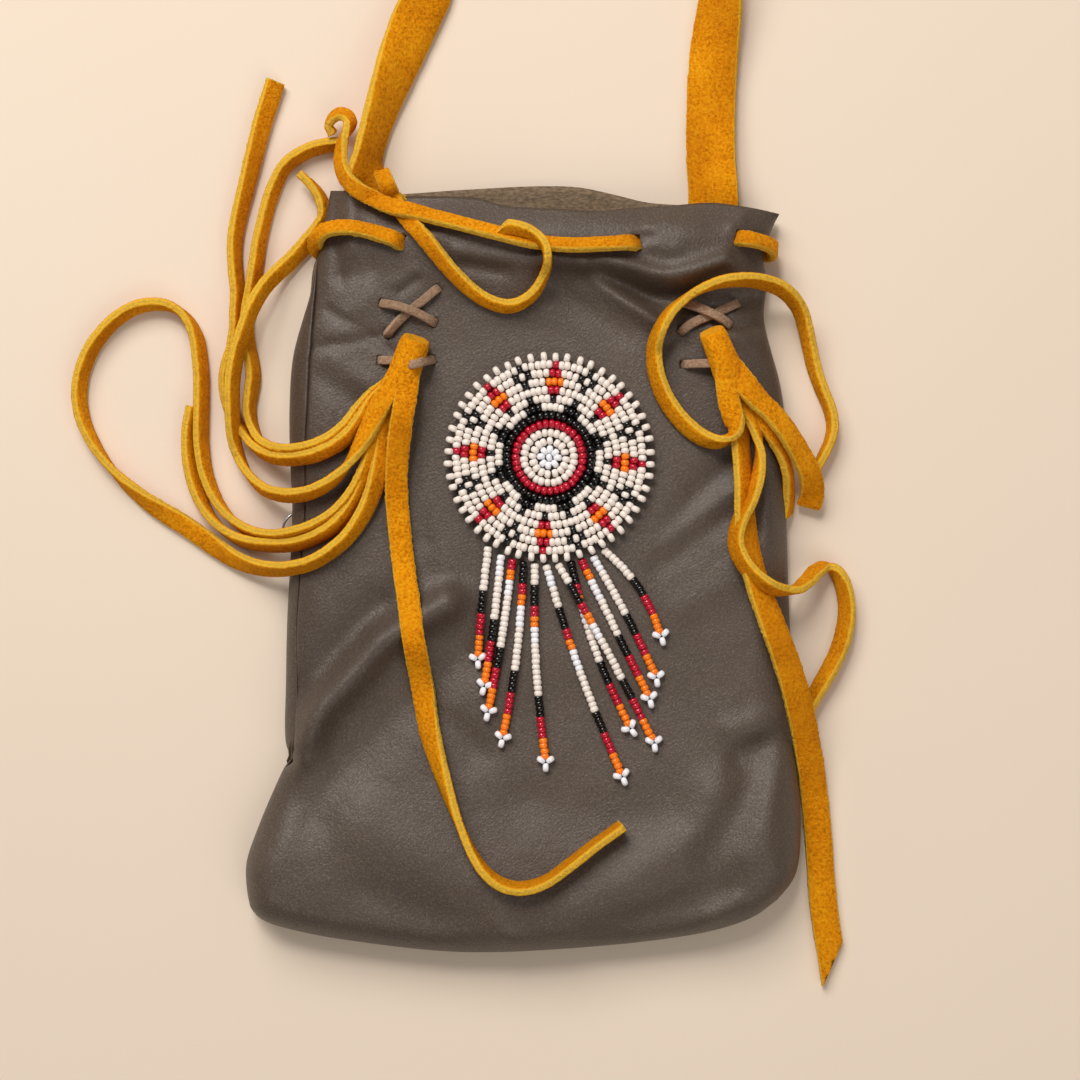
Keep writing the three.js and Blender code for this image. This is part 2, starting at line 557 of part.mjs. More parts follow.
const LEFT_STRANDS = [
  [
    [-39.5, 39, on(0), 90], [-42, 35, on(0), 90], [-45.5, 32, on(0), 90], [-50.5, 30, on(0.5), 90],
    [-55.5, 28.5, at(12.9), 90], [-60, 28.3, at(10), 90], [-65, 29.4, at(6.4), 90], [-69, 32, at(4), 90],
    [-71.2, 36, on(0), 90], [-72, 40.5, on(0), 90], [-71.4, 45.5, on(0), 90], [-70.5, 49, on(0), 90],
    [-70.3, 52.5, on(0), 90], [-71.3, 56.5, on(0), 90], [-72.6, 61, on(0), 90], [-72.6, 65.5, on(0), 90],
    [-72.3, 70.5, on(0), 90], [-73, 76, on(0), 90], [-73.2, 82.5, on(0), 90], [-72.5, 88.5, on(0), 80],
    [-70.7, 96, on(0), 70], [-68.5, 105, on(0), 60], [-66, 114.5, on(0), 45], [-63, 124, on(0), 35],
  ],
  [
    [-41.4, 40.1, on(0), 90], [-43.8, 36.8, on(0), 90], [-47, 34.4, on(0), 90], [-51.5, 32.5, on(0), 90],
    [-56, 31.2, at(12.7), 90], [-60, 30.9, at(10.2), 90], [-63.8, 32, at(7.2), 90], [-66.8, 34.3, at(4.6), 90],
    [-68.6, 37.4, on(0), 90], [-69.3, 41, on(0), 90], [-68.8, 45, on(0), 90], [-67.9, 48.5, on(0), 90],
    [-67.8, 52.5, on(0), 90], [-68.6, 56.5, on(0), 90], [-69.9, 60.7, on(0), 90], [-69.9, 65.5, on(0), 90],
    [-69, 71, on(0), 90], [-68, 77, on(0), 90], [-67, 83.5, on(0), 90], [-65.5, 90, on(0), 90],
    [-63.7, 96, on(0), 90], [-60.7, 102, on(0), 90], [-56.2, 105.6, on(0), 80], [-51.4, 107.2, on(0), 70],
  ],
  [
    [-37.7, 37.9, on(0), 90], [-40.3, 33.8, on(0), 90], [-43.5, 29, on(0), 90], [-47, 24.7, on(0), 90],
    [-51.5, 21.5, on(0), 90], [-56.5, 19.6, at(12.6), 90], [-61, 19.6, at(9.2), 90], [-66, 21.6, at(5.6), 90],
    [-69.8, 24.8, at(3.6), 90], [-72.8, 29, on(0), 90], [-74.6, 34, on(0), 90], [-75.2, 40, on(0), 90],
    [-74.9, 46, on(1.2), 90], [-74.2, 52.5, on(3.6), 90], [-72.6, 58.5, on(6), 90], [-70.5, 64, on(6), 90],
    [-67.8, 69, on(5.8), 90], [-64.8, 73.2, on(3.4), 90], [-62, 77.5, on(0.8), 90], [-59.6, 81, on(0), 90],
    [-57.6, 84.6, on(0), 90], [-55.6, 88, on(0), 90], [-54.2, 91.2, on(0), 90], [-53.6, 94.4, on(0), 90],
    [-54.4, 97.8, on(0), 90], [-55.8, 100.4, on(0), 90],
  ],
  [
    [-35.9, 36.8, on(0), 90], [-38.4, 32.4, on(0), 90], [-41, 28, on(0), 90], [-44, 23.3, on(0), 90],
    [-48, 19, on(0), 90], [-53, 15.5, at(14), 90], [-58, 13.3, at(11.2), 90], [-63, 12.6, at(7.8), 90],
    [-68, 13.4, at(4.6), 90], [-72.4, 15.8, on(0), 90], [-75.9, 19.5, on(0), 90], [-78.3, 24, on(0), 90],
    [-79.3, 30, on(0), 90], [-79.4, 36, on(0), 90], [-79.2, 41.5, on(0), 90], [-79.4, 47, on(0), 90],
    [-80, 52, on(0), 90],
  ],
  [
    [-34.1, 35.7, on(0), 90], [-36.5, 31.2, on(0), 90], [-39, 26.6, on(0), 90], [-42.2, 21.6, on(0), 90],
    [-46.3, 17.2, on(0), 90], [-51.5, 13.2, at(14.8), 90], [-57.3, 10.8, at(11.4), 90], [-63, 10, at(7.6), 90],
    [-69, 10.9, at(4.2), 90], [-74.2, 13.7, on(0), 90], [-78.2, 18, on(0), 90], [-80.8, 23.5, on(0), 90],
    [-81.9, 29.5, on(0), 90], [-82, 36, on(0), 90], [-81.9, 41.5, on(0), 90], [-82, 46.5, on(0), 90],
    [-82.8, 51, on(0), 90],
  ],
  [
    [-32.2, 34.6, on(0), 90], [-34.4, 30, on(0), 90], [-36, 25, on(0), 90], [-38.5, 19, on(0), 90],
    [-42, 12, on(0), 90], [-46.5, 6.5, on(0), 90], [-51.5, 3, at(14.9), 90], [-57, 1, at(12.4), 90],
    [-62.5, 0.2, at(8), 90], [-68, 0.5, at(5), 90], [-73.5, 2, on(0.4), 85], [-78, 5, on(0), 60],
    [-81.5, 8.5, on(0), 20], [-86, 11, on(0), 5], [-91, 13.5, on(0), 20], [-96, 16.5, on(0), 60],
    [-101, 20.5, on(0), 85], [-105.5, 25.5, on(0), 90], [-109.5, 31, on(0), 90], [-112, 37, on(0), 90],
    [-113, 43, on(0), 90], [-112, 50, on(0), 90], [-109.5, 56.5, on(0), 90], [-106, 61, on(0), 90],
    [-102, 64.4, on(0), 90], [-98, 66.4, on(0), 90], [-94, 67, on(0), 90], [-90, 66.7, on(0), 90],
    [-86.5, 65.4, on(0), 90], [-83, 62.8, on(0), 90], [-79.8, 59.2, on(0), 90], [-77.8, 55, on(0), 90],
    [-76.9, 50, on(0), 90],
  ],
  [
    [-29.4, 41.2, on(6.9), 0], [-30, 37.5, on(6.7), 0], [-30.5, 33.5, on(6.2), 0], [-31, 28.5, on(5.6), 0],
    [-31.5, 23, on(3.2), 0], [-31.5, 17.5, on(1), 0], [-31, 12, on(0), 0], [-30, 2.5, on(0), 0],
    [-28.5, -7, on(0), 5], [-27, -17.5, on(0.3), 10], [-25, -30, on(0.3), 20], [-23, -41, on(0.3), 40],
    [-20, -51, on(0.2), 60], [-16.5, -61, on(0.2), 75], [-12, -70.3, on(0), 85], [-8.5, -75, on(0.2), 90],
    [-4, -78.2, on(0.3), 90], [1, -79.2, on(0.4), 90], [6.5, -77.6, on(0.3), 85], [13, -73.5, on(0.2), 80],
    [19, -68.7, on(0.2), 70], [25, -64.5, on(0.3), 60],
  ],
];

const RIGHT_STRANDS = [
  [
    [51.3, 41.4, on(4.2), 0], [52.2, 39, on(4), 15], [52.4, 36.6, on(3.4), 45], [51.2, 34.3, on(2.8), 65],
    [48.6, 33.3, on(2.5), 75], [45.3, 34, on(1.4), 80], [41.5, 36.3, on(0), 85], [38, 40, on(0), 90],
    [36, 44, on(0), 90], [34.5, 49.5, on(0), 90], [34.1, 54.5, on(0), 90], [35, 59.5, on(1.2), 90],
    [37, 64, on(2.2), 90], [40.5, 67.8, on(2.4), 90], [45, 70.6, on(2.4), 90], [49.5, 72.2, on(2.4), 90],
    [54.5, 73, on(2.2), 90], [59, 72.9, at(14.4), 90], [63.5, 71.9, at(11.6), 90], [67, 69.8, at(8.8), 90],
    [69.5, 66.6, at(6.4), 90], [71, 62.5, at(4.8), 90], [72.2, 57.5, at(3.6), 90], [73.6, 52, on(0), 90],
    [75.5, 46.5, on(0), 90], [77.5, 42, on(0), 90], [78.4, 38, on(0), 90], [77.6, 34, on(0), 90],
    [76.2, 30.8, on(0), 90],
  ],
  [
    [56.5, 43.8, on(4.2), 0], [59, 42, at(17.5), 0], [62, 39.2, at(17.5), 0], [64.6, 36.3, at(16.6), 0],
    [67, 33.3, at(14.3), 0], [69.3, 30.8, at(12.4), 0], [71.2, 28.2, at(10.4), 0], [72.5, 25.5, at(8.6), 0],
    [73.4, 22.6, at(6.6), 0], [73.8, 19.8, at(4.8), 0], [73.8, 17, at(3), 0],
  ],
  [
    [56.4, 43.7, on(2.1), 0], [57.9, 41, at(15.35), 0], [59.5, 38.5, at(15.4), 0], [61.2, 36, at(15.1), 8],
    [63, 33.5, at(13.8), 35], [64.6, 30.8, at(11.9), 60], [66.3, 27.8, at(10.4), 75], [67.8, 24.5, at(8.6), 80],
    [68.9, 21, at(6.2), 80], [69.4, 17.5, at(4.4), 80], [69.4, 14, at(3.1), 80],
  ],
  [
    [56.4, 43.7, on(0), 0], [57.6, 40.5, on(0), 0], [58.3, 37.5, on(0), 0], [58.6, 34.5, on(0), 0],
    [58.7, 31.5, on(0.2), 25], [59.2, 28, on(1.2), 65], [58.4, 23, on(2.6), 85], [56.3, 17.5, on(2.6), 90],
    [53.8, 12.5, on(2.6), 90], [52.7, 8, on(2.6), 90], [53.6, 4, on(2.6), 90], [56.2, 0.4, on(3), 90],
    [60, -2.5, on(3.4), 90], [64.5, -4.4, at(13.2), 90], [68.5, -4.4, at(10), 90], [71.5, -2.6, at(7), 90],
    [74, -0.2, at(4.6), 90], [76.5, 1, on(0), 90], [79, -0.5, on(0), 90], [81, -4, on(0), 90],
    [82, -9, on(0), 90], [81.5, -14.5, on(0), 90], [80, -20, on(0), 90], [78, -24.5, on(0), 90],
    [75.8, -28.4, on(0), 90],
  ],
  [
    [51.2, 41.3, on(0), 0], [52.3, 37, on(0), 0], [53.3, 32.5, on(0), 0], [54, 26.5, on(0), 0],
    [54.5, 21, on(0), 0], [55, 15, on(0.2), 0], [55, 9, on(0.2), 0], [55.5, 2.5, on(0.2), 0],
    [56.5, -5, on(0.2), 4], [58.5, -11.5, on(0.3), 8], [61, -17.5, on(0.5), 20], [63.5, -23, at(11.6), 35],
    [66.6, -28.5, at(9.4), 45], [70, -34, at(6.4), 45], [71.9, -41.5, at(3.9), 40], [73.4, -48, at(2.7), 25],
    [74.7, -57.5, on(0), 10], [75.8, -68, on(0), 0], [76.8, -78, on(0), 0], [77.4, -86.5, on(0), 0],
    [77, -94, on(0), 0], [75.5, -101.5, on(0), 0],
  ],
];

const STRAP_LEFT = [
  [-40, 74, at(5.6), 0], [-40, 81, at(5.6), 0], [-40, 88, at(5.9), 0], [-40, 95, at(6.8), -6],
  [-39.5, 101, at(6), -18], [-38, 106.5, at(5.2), -22], [-35.5, 113.5, at(4.2), -22], [-33, 121.5, on(0.2), -20],
  [-30, 129.5, on(0), -15], [-27, 137.5, on(0), -15], [-24, 145, on(0), -20], [-19.8, 158, on(0), -45],
  [-16, 172, on(0), -75], [-13.6, 186, on(0), -90], [-12.6, 200, on(0), -90], [-12.5, 213, on(0), -90],
];
const STRAP_RIGHT = [
  [48, 74, at(5.6), 0], [48, 81, at(5.6), 0], [48, 88, at(5.6), 0], [48, 96, at(5.4), 0],
  [47.5, 104, at(3.8), 0], [47.5, 112, at(2), 0], [47.8, 122, on(0), 0], [48.5, 132, on(0), 0],
  [50, 144.5, on(0), 10], [50.8, 153, on(0), 40], [50.2, 161, on(0), 75], [46.5, 168.2, on(0), 90],
  [39.4, 172.6, on(0), 90],
];

// Holes of the lacing: the lower lace of each cross, the upper one, and the bar through the tassel.
const LEFT_LACING = {
  lower: [[-21, 70.5], [-34.5, 59.2]],
  upper: [[-35.5, 66.5], [-22, 61.5]],
  bar: [[-35.6, 52.5], [-22, 52.5]],
};
const RIGHT_LACING = {
  lower: [[53.5, 67], [39.5, 59.5]],
  upper: [[40, 66.8], [52.5, 60.8]],
  bar: [[42.4, 51.5], [56.6, 51.5]],
};
const CROSS_ARCH = 2.3;
const BAR_LIFT = 1.7;
const BAR_ROOM = 1.5;

// Tassel heads: middle line in plan, half width and half height.
const LEFT_HEAD = [
  [-27, 57, 3.5, 3.5], [-28.5, 52.5, 3.8, 3.6], [-30, 48, 4.1, 3.5], [-32, 44.2, 4.6, 3.3],
  [-34.6, 41.1, 5.6, 3.1], [-36.5, 37.9, 6.7, 3],
];
const RIGHT_HEAD = [
  [46.5, 59.5, 3.3, 3.3], [48.3, 55.3, 3.6, 3.5], [50, 51, 3.8, 3.5], [51.8, 46.8, 4.2, 3.4],
  [53.4, 43.4, 4.9, 3.4],
];
const HEAD_SIDES = 12;
const HEAD_REACH = 3;

/** Rolled suede head: round at its top, flattening to where its strands are cut. */
function tasselHead(sections) {
  const axis = sections.map(([x, y]) => new THREE.Vector2(x, y));
  const ground = Math.max(...axis.map((place) => groundAt(place.x, place.y, HEAD_REACH).outer));
  const rings = sections.map(([x, y, halfWidth, halfHeight], i) => {
    const ahead = axis[Math.min(i + 1, axis.length - 1)].clone().sub(axis[Math.max(i - 1, 0)]).normalize();
    const middle = ground + CLEARANCE + halfHeight;
    return Array.from({ length: HEAD_SIDES }, (_, k) => {
      const angle = (k + 0.5) * 2 * Math.PI / HEAD_SIDES;
      const across = halfWidth * Math.cos(angle);
      return new THREE.Vector3(x - ahead.y * across, y + ahead.x * across, middle + halfHeight * Math.sin(angle));
    });
  });
  const triangles = [];
  const last = rings.length - 1;
  for (let k = 0; k < HEAD_SIDES; k += 1) {
    const next = (k + 1) % HEAD_SIDES;
    for (let i = 0; i < last; i += 1) {
      triangles.push([rings[i][k], rings[i + 1][k], rings[i + 1][next]]);
      triangles.push([rings[i][k], rings[i + 1][next], rings[i][next]]);
    }
    triangles.push([rings[0][0], rings[0][k], rings[0][next]]);
    triangles.push([rings[last][0], rings[last][next], rings[last][k]]);
  }
  return solidFrom(triangles);
}

/** Heading in plan from one hole to another. */
function headingOf([from, to]) {
  return Math.atan2(to[1] - from[1], to[0] - from[0]);
}

/** Route of one lacing lace: up through a hole, across, down through the next, with a tail at each end. */
function lacingRoute([from, to], arch) {
  const heading = headingOf([from, to]);
  const reach = Math.hypot(to[0] - from[0], to[1] - from[1]);
  const stop = (distance, lie) => {
    return [from[0] + Math.cos(heading) * distance, from[1] + Math.sin(heading) * distance, lie, 0];
  };
  return [
    stop(-LACING_TAIL, inside), stop(-PASS_IN, inside), stop(PASS_OUT, on(0)), stop(reach / 3, on(arch)),
    stop(reach / 2, on(arch)), stop(reach * 2 / 3, on(arch)), stop(reach - PASS_OUT, on(0)),
    stop(reach + PASS_IN, inside), stop(reach + LACING_TAIL, inside),
  ];
}

/** Slit cutter for a lace passing the front panel. */
function laceSlit([x, y], heading, length, width) {
  return slitBox(x, y, groundAt(x, y).outer, length, width + 2 * CLEARANCE, SLIT_DEPTH, heading);
}

// The leather panels.

const lacings = [LEFT_LACING, RIGHT_LACING].flatMap((set) => Object.values(set));
const slits = lacings.flatMap((holes) => holes.map((hole) => {
  return laceSlit(hole, headingOf(holes), LACING_SLIT, LACING_WIDTH);
}));
const DRAWSTRING_HOLES = [
  { from: [24.5, 82], to: [33, 82.5] },
  { from: [49, 83.4], to: [57, 83] },
  { from: [-35, 85], to: [-27, 82.4] },
];
for (const { from, to } of DRAWSTRING_HOLES) {
  const middle = [(from[0] + to[0]) / 2, (from[1] + to[1]) / 2];
  slits.push(laceSlit(middle, headingOf([from, to]), DRAWSTRING_SLIT, DRAWSTRING_WIDTH));
}

/** Wire ring of a stated wire thickness, in place at the left edge. */
function wireRing(thickness) {
  const profile = Array.from({ length: WIRE_SIDES + 1 }, (_, k) => {
    const angle = k * 2 * Math.PI / WIRE_SIDES;
    const ring = RING_RADIUS + Math.cos(angle) * thickness / 2;
    return new THREE.Vector2(ring, Math.sin(angle) * thickness / 2);
  });
  const ring = new THREE.LatheGeometry(profile, RING_SIDES);
  ring.rotateX(Math.PI / 2);
  const edge = outline.reduce((best, point) => {
    const better = point.x < 0 && Math.abs(point.y - RING_Y) < Math.abs(best.y - RING_Y);
    return better ? point : best;
  });
  ring.translate(edge.x + RING_RADIUS + RING_WIRE / 2 - RING_SHOWS, RING_Y, RING_Z);
  return ring;
}

add('front_panel', cut(frontSheet, slits), leather);
add('back_panel', cut(backSheet, [wireRing(RING_WIRE + 2 * CLEARANCE)]), leather);
add('edge_ring', wireRing(RING_WIRE), wire);

// The shoulder strap and its coil.

add('strap_left_run', lace(STRAP_LEFT, STRAP_WIDTH, STRAP_THICKNESS, STRAP_STEP), suede);
add('strap_right_run', lace(STRAP_RIGHT, STRAP_WIDTH, STRAP_THICKNESS, STRAP_STEP), suede);

const coilFloor = CLEARANCE + TIE_THICKNESS + CLEARANCE;
const coilProfile = [
  new THREE.Vector2(COIL_INNER, 0),
  new THREE.Vector2(COIL_OUTER, 0),
  new THREE.Vector2(COIL_OUTER, STRAP_WIDTH),
  new THREE.Vector2(COIL_INNER, STRAP_WIDTH),
  new THREE.Vector2(COIL_INNER, 0),
];
const coil = new THREE.LatheGeometry(coilProfile, COIL_SIDES);
coil.rotateX(Math.PI / 2);
coil.translate(COIL_X, COIL_Y, coilFloor);
add('strap_coil', coil, suede);

/** Flat tape round one side of the coil. */
function coilTie() {
  const low = coilFloor - CLEARANCE;
  const high = coilFloor + STRAP_WIDTH + CLEARANCE;
  const near = COIL_INNER - 2 * CLEARANCE;
  const far = COIL_OUTER + 2 * CLEARANCE;
  const frame = (grow) => [
    new THREE.Vector2(near - grow, low - grow),
    new THREE.Vector2(far + grow, low - grow),
    new THREE.Vector2(far + grow, high + grow),
    new THREE.Vector2(near - grow, high + grow),
  ];
  const loop = new THREE.Shape(frame(TIE_THICKNESS));
  loop.holes.push(new THREE.Path(frame(0).reverse()));
  const tie = new THREE.ExtrudeGeometry(loop, { depth: TIE_WIDTH, bevelEnabled: false });
  tie.translate(0, 0, -TIE_WIDTH / 2);
  tie.rotateX(Math.PI / 2);
  tie.rotateZ(TIE_ANGLE);
  tie.translate(COIL_X, COIL_Y, 0);
  return tie;
}

add('strap_tie', coilTie(), tape);
add('drawstring', lace(DRAWSTRING, DRAWSTRING_WIDTH, SUEDE_THICKNESS, DRAWSTRING_STEP), suede);

// Tassels and their lacing.

/** Cutter for the bar's way through a tassel head. */
function barHole(holes) {
  const [from, to] = holes;
  const [x, y] = [(from[0] + to[0]) / 2, (from[1] + to[1]) / 2];
  const z = groundAt(x, y).outer + LACING_THICKNESS / 2 + BAR_LIFT;
  const length = Math.hypot(to[0] - from[0], to[1] - from[1]);
  const height = LACING_THICKNESS + BAR_ROOM;
  return slitBox(x, y, z, length, LACING_WIDTH + 2 * CLEARANCE, height, headingOf(holes));
}

/** Adds one tassel: its head, its strands and the lacing that holds it. */
function addTassel(side, head, strands, widths, lacing) {
  add(`${side}_tassel_head`, cut(tasselHead(head), [barHole(lacing.bar)]), suede);
  strands.forEach((points, i) => {
    add(`${side}_tassel_strand_${i + 1}`, lace(points, widths[i], SUEDE_THICKNESS, STRAND_STEP), suede);
  });
  const arches = { lower: 0, upper: CROSS_ARCH, bar: BAR_LIFT };
  for (const [part, holes] of Object.entries(lacing)) {
    const route = lacingRoute(holes, arches[part]);
    add(`${side}_lacing_${part}`, lace(route, LACING_WIDTH, LACING_THICKNESS, LACING_STEP), tanLace);
  }
}

const narrow = STRAND_WIDTH;
const wide = WIDE_STRAND_WIDTH;
addTassel('left', LEFT_HEAD, LEFT_STRANDS, [narrow, narrow, narrow, narrow, narrow, narrow, wide], LEFT_LACING);
addTassel('right', RIGHT_HEAD, RIGHT_STRANDS, [narrow, wide, narrow, narrow, wide], RIGHT_LACING);

// The beaded rosette.

const backingFloor = BODY_HEIGHT + CLEARANCE;
const beadFloor = backingFloor + BACKING_THICKNESS + CLEARANCE;
const BACKING_SIDES = 40;

const backing = new THREE.CylinderGeometry(BACKING_RADIUS, BACKING_RADIUS, BACKING_THICKNESS, BACKING_SIDES);
backing.rotateX(Math.PI / 2);
backing.translate(ROSETTE_X, ROSETTE_Y, backingFloor + BACKING_THICKNESS / 2);
add('rosette_backing', backing, felt);

/** Ring of beads: each bead is a ridge with a low joint at each end, and may reach out to a point. */
function beadRing(inner, outer, count, height, tip) {
  const point = (radius, turn, z) => {
    const angle = turn * 2 * Math.PI / count;
    return new THREE.Vector3(ROSETTE_X + radius * Math.cos(angle), ROSETTE_Y + radius * Math.sin(angle), beadFloor + z);
  };
  const middle = (inner + outer) / 2;
  const triangles = [];
  for (let k = 0; k < count; k += 1) {
    const next = (k + 1) % count;
    const [a, b] = [point(inner, k, 0), point(inner, next, 0)];
    const [c, d] = [point(outer, k, 0), point(outer, next, 0)];
    const [low, lowNext] = [point(middle, k, height * VALLEY_SHARE), point(middle, next, height * VALLEY_SHARE)];
    const top = point(tip ? (middle + tip) / 2 : middle, k + 0.5, height);
    triangles.push([a, b, d], [a, d, c], [a, lowNext, b], [a, top, lowNext], [a, low, top]);
    if (tip) {
      const end = point(tip, k + 0.5, 0);
      triangles.push([c, d, end], [c, end, top], [end, d, top], [c, top, low], [d, lowNext, top]);
    } else {
      triangles.push([c, d, lowNext], [c, lowNext, top], [c, top, low]);
    }
  }
  return solidFrom(triangles);
}

const RING_MATERIALS = [
  whiteBead, creamBead, creamBead, redBead, blackBead, blackBead, creamBead, creamBead, creamBead, creamBead, creamBead,
];
const ringRadius = (ring) => FIRST_RING_RADIUS + ring * RING_PITCH;
for (let ring = 0; ring < BEAD_RINGS; ring += 1) {
  const radius = ringRadius(ring);
  const count = Math.round(2 * Math.PI * radius / BEAD_PITCH);
  const half = BEAD_RING_WIDTH / 2;
  const beads = beadRing(radius - half, radius + half, count, BEAD_DIAMETER, 0);
  add(`bead_ring_${String(ring + 1).padStart(2, '0')}`, beads, RING_MATERIALS[ring]);
}

const picotInner = ringRadius(BEAD_RINGS - 1) + BEAD_RING_WIDTH / 2 + CLEARANCE;
const picotTip = picotInner + PICOT_LENGTH;
add('picot_edging', beadRing(picotInner, picotInner + PICOT_WEB, PICOT_COUNT, PICOT_HEIGHT, picotTip), creamBead);

// The bead fringe.

const TREFOIL_RADIUS = 1.25;
const TREFOIL_SPREAD = 1.15;
const STRAND_SIDES = 8;

/** One strand of the fringe with the trefoil of beads at its tip. */
function fringeStrand(index) {
  const { x, y, bow, hop } = FRINGE_TIPS[index];
  const angle = THREE.MathUtils.degToRad(FRINGE_FIRST_ANGLE + index * FRINGE_ANGLE_STEP);
  const reach = picotTip + CLEARANCE + BEAD_DIAMETER / 4;
  const start = new THREE.Vector3(ROSETTE_X + reach * Math.cos(angle), ROSETTE_Y + reach * Math.sin(angle), 0);
  const tip = new THREE.Vector3(x, y, 0);
  const along = tip.clone().sub(start).normalize();
  const sideways = new THREE.Vector3(-along.y, along.x, 0);
  const points = shares(0, 1, FRINGE_STATIONS).map((share) => {
    const place = start.clone().lerp(tip, share);
    place.addScaledVector(sideways, bow * Math.sin(Math.PI * share));
    const over = hop * Math.sin(Math.PI * Math.min(share / HOP_END, 1)) ** HOP_FULLNESS;
    place.z = on(over)(groundAt(place.x, place.y, BEAD_DIAMETER / 2), BEAD_DIAMETER / 2);
    return place;
  });
  const route = new THREE.CatmullRomCurve3(points, false, 'centripetal');
  const section = new THREE.Shape(Array.from({ length: STRAND_SIDES }, (_, k) => {
    const turn = (k + 0.5) * 2 * Math.PI / STRAND_SIDES;
    return new THREE.Vector2(Math.cos(turn), Math.sin(turn)).multiplyScalar(BEAD_DIAMETER / 2);
  }));
  const steps = Math.ceil(route.getLength() / FRINGE_STEP);
  const tube = new THREE.ExtrudeGeometry(section, { steps, extrudePath: route, bevelEnabled: false });
  const beads = [-1, 0, 1].map((place) => {
    const bead = new THREE.OctahedronGeometry(TREFOIL_RADIUS);
    const spot = points[points.length - 1].clone();
    spot.addScaledVector(sideways, place * TREFOIL_SPREAD);
    spot.addScaledVector(along, place === 0 ? TREFOIL_SPREAD : 0);
    bead.translate(spot.x, spot.y, spot.z + (TREFOIL_RADIUS - BEAD_DIAMETER / 2));
    return toSolid(bead);
  });
  return fromSolid(beads.reduce((solid, bead) => solid.add(bead), toSolid(tube)));
}

FRINGE_TIPS.forEach((_, index) => {
  add(`fringe_strand_${String(index + 1).padStart(2, '0')}`, fringeStrand(index), creamBead);
});

export default group;
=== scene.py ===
"""Dresses the leather phone pouch: grain leather, suede laces, tan lacing, seed beads and a small wire ring.

Places are in millimetres in the pouch's own frame and become metres when a mesh is made. +Z is up from the
table, +Y is toward the mouth, and the pouch lies on its back.
"""
from __future__ import annotations

import logging
import math
import random
from dataclasses import dataclass, field
from enum import Enum
from typing import Callable, Iterable, Sequence

import bpy
import numpy as np
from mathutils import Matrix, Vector
from mathutils import noise as field_noise
from mathutils.bvhtree import BVHTree

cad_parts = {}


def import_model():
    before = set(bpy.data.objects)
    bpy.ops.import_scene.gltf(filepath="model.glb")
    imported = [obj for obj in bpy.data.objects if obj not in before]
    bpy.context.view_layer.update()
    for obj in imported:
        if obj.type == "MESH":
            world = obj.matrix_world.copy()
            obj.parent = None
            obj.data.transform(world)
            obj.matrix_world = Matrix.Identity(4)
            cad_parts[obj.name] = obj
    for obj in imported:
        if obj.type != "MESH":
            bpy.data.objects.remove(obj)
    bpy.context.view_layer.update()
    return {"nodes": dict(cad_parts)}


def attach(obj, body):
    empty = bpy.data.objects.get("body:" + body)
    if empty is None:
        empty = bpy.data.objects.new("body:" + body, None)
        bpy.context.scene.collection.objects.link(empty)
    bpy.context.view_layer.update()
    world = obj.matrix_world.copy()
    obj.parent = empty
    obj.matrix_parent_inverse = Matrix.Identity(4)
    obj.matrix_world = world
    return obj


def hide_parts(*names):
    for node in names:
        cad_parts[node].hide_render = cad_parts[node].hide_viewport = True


LOG = logging.getLogger("pouch")
MM = 0.001
BODY = "root"
SEED = 11
TINY = 1e-9
CURVE_STEPS = 24
CLEARANCE = 0.15
TABLE_GAP = 0.3
SHORTEST_CORD = 0.03
BOX_FACES = ((3, 2, 1, 0), (4, 5, 6, 7), (0, 1, 5, 4), (1, 2, 6, 5), (2, 3, 7, 6), (3, 0, 4, 7))

Place = tuple[float, float]
Span = tuple[float, float]
Spot = tuple[float, float, float]
Lump = tuple[float, float, float]
Slit = tuple[float, float, float, float, float]
Colour = tuple[float, float, float, float]
Section = tuple[float, float, float, float]
Socket = bpy.types.NodeSocket
Tree = bpy.types.NodeTree
Material = bpy.types.Material
Piece = bpy.types.Object


class Slot(Enum):
    """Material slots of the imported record."""

    LEATHER = "taupe_leather"
    SUEDE = "golden_suede"
    TAN = "tan_lace"
    WIRE = "silver_wire"
    CREAM = "cream_beads"


# Numbers and lines.


def ease(value: np.ndarray | float, start: float, end: float) -> np.ndarray:
    """Smooth step from 0 to 1 as a value goes from start to end, either way round."""
    share = np.clip((np.asarray(value, float) - start) / (end - start), 0, 1)
    return share * share * (3 - 2 * share)


def crowd(shares: np.ndarray, amount: float) -> np.ndarray:
    """Moves even shares closer together toward 0 and 1."""
    return shares - amount * np.sin(2 * np.pi * shares) / (2 * np.pi)


def wobble(points: np.ndarray, size_mm: float, seed: float) -> np.ndarray:
    """Smooth random number from about -1 to 1 at each point, in lumps of a size."""
    shifted = np.asarray(points, float) / size_mm + seed
    return np.array([field_noise.noise(Vector(row)) for row in shifted])


def line_length(line: np.ndarray) -> float:
    """Length of a line of points."""
    return float(np.linalg.norm(np.diff(line, axis=0), axis=1).sum())


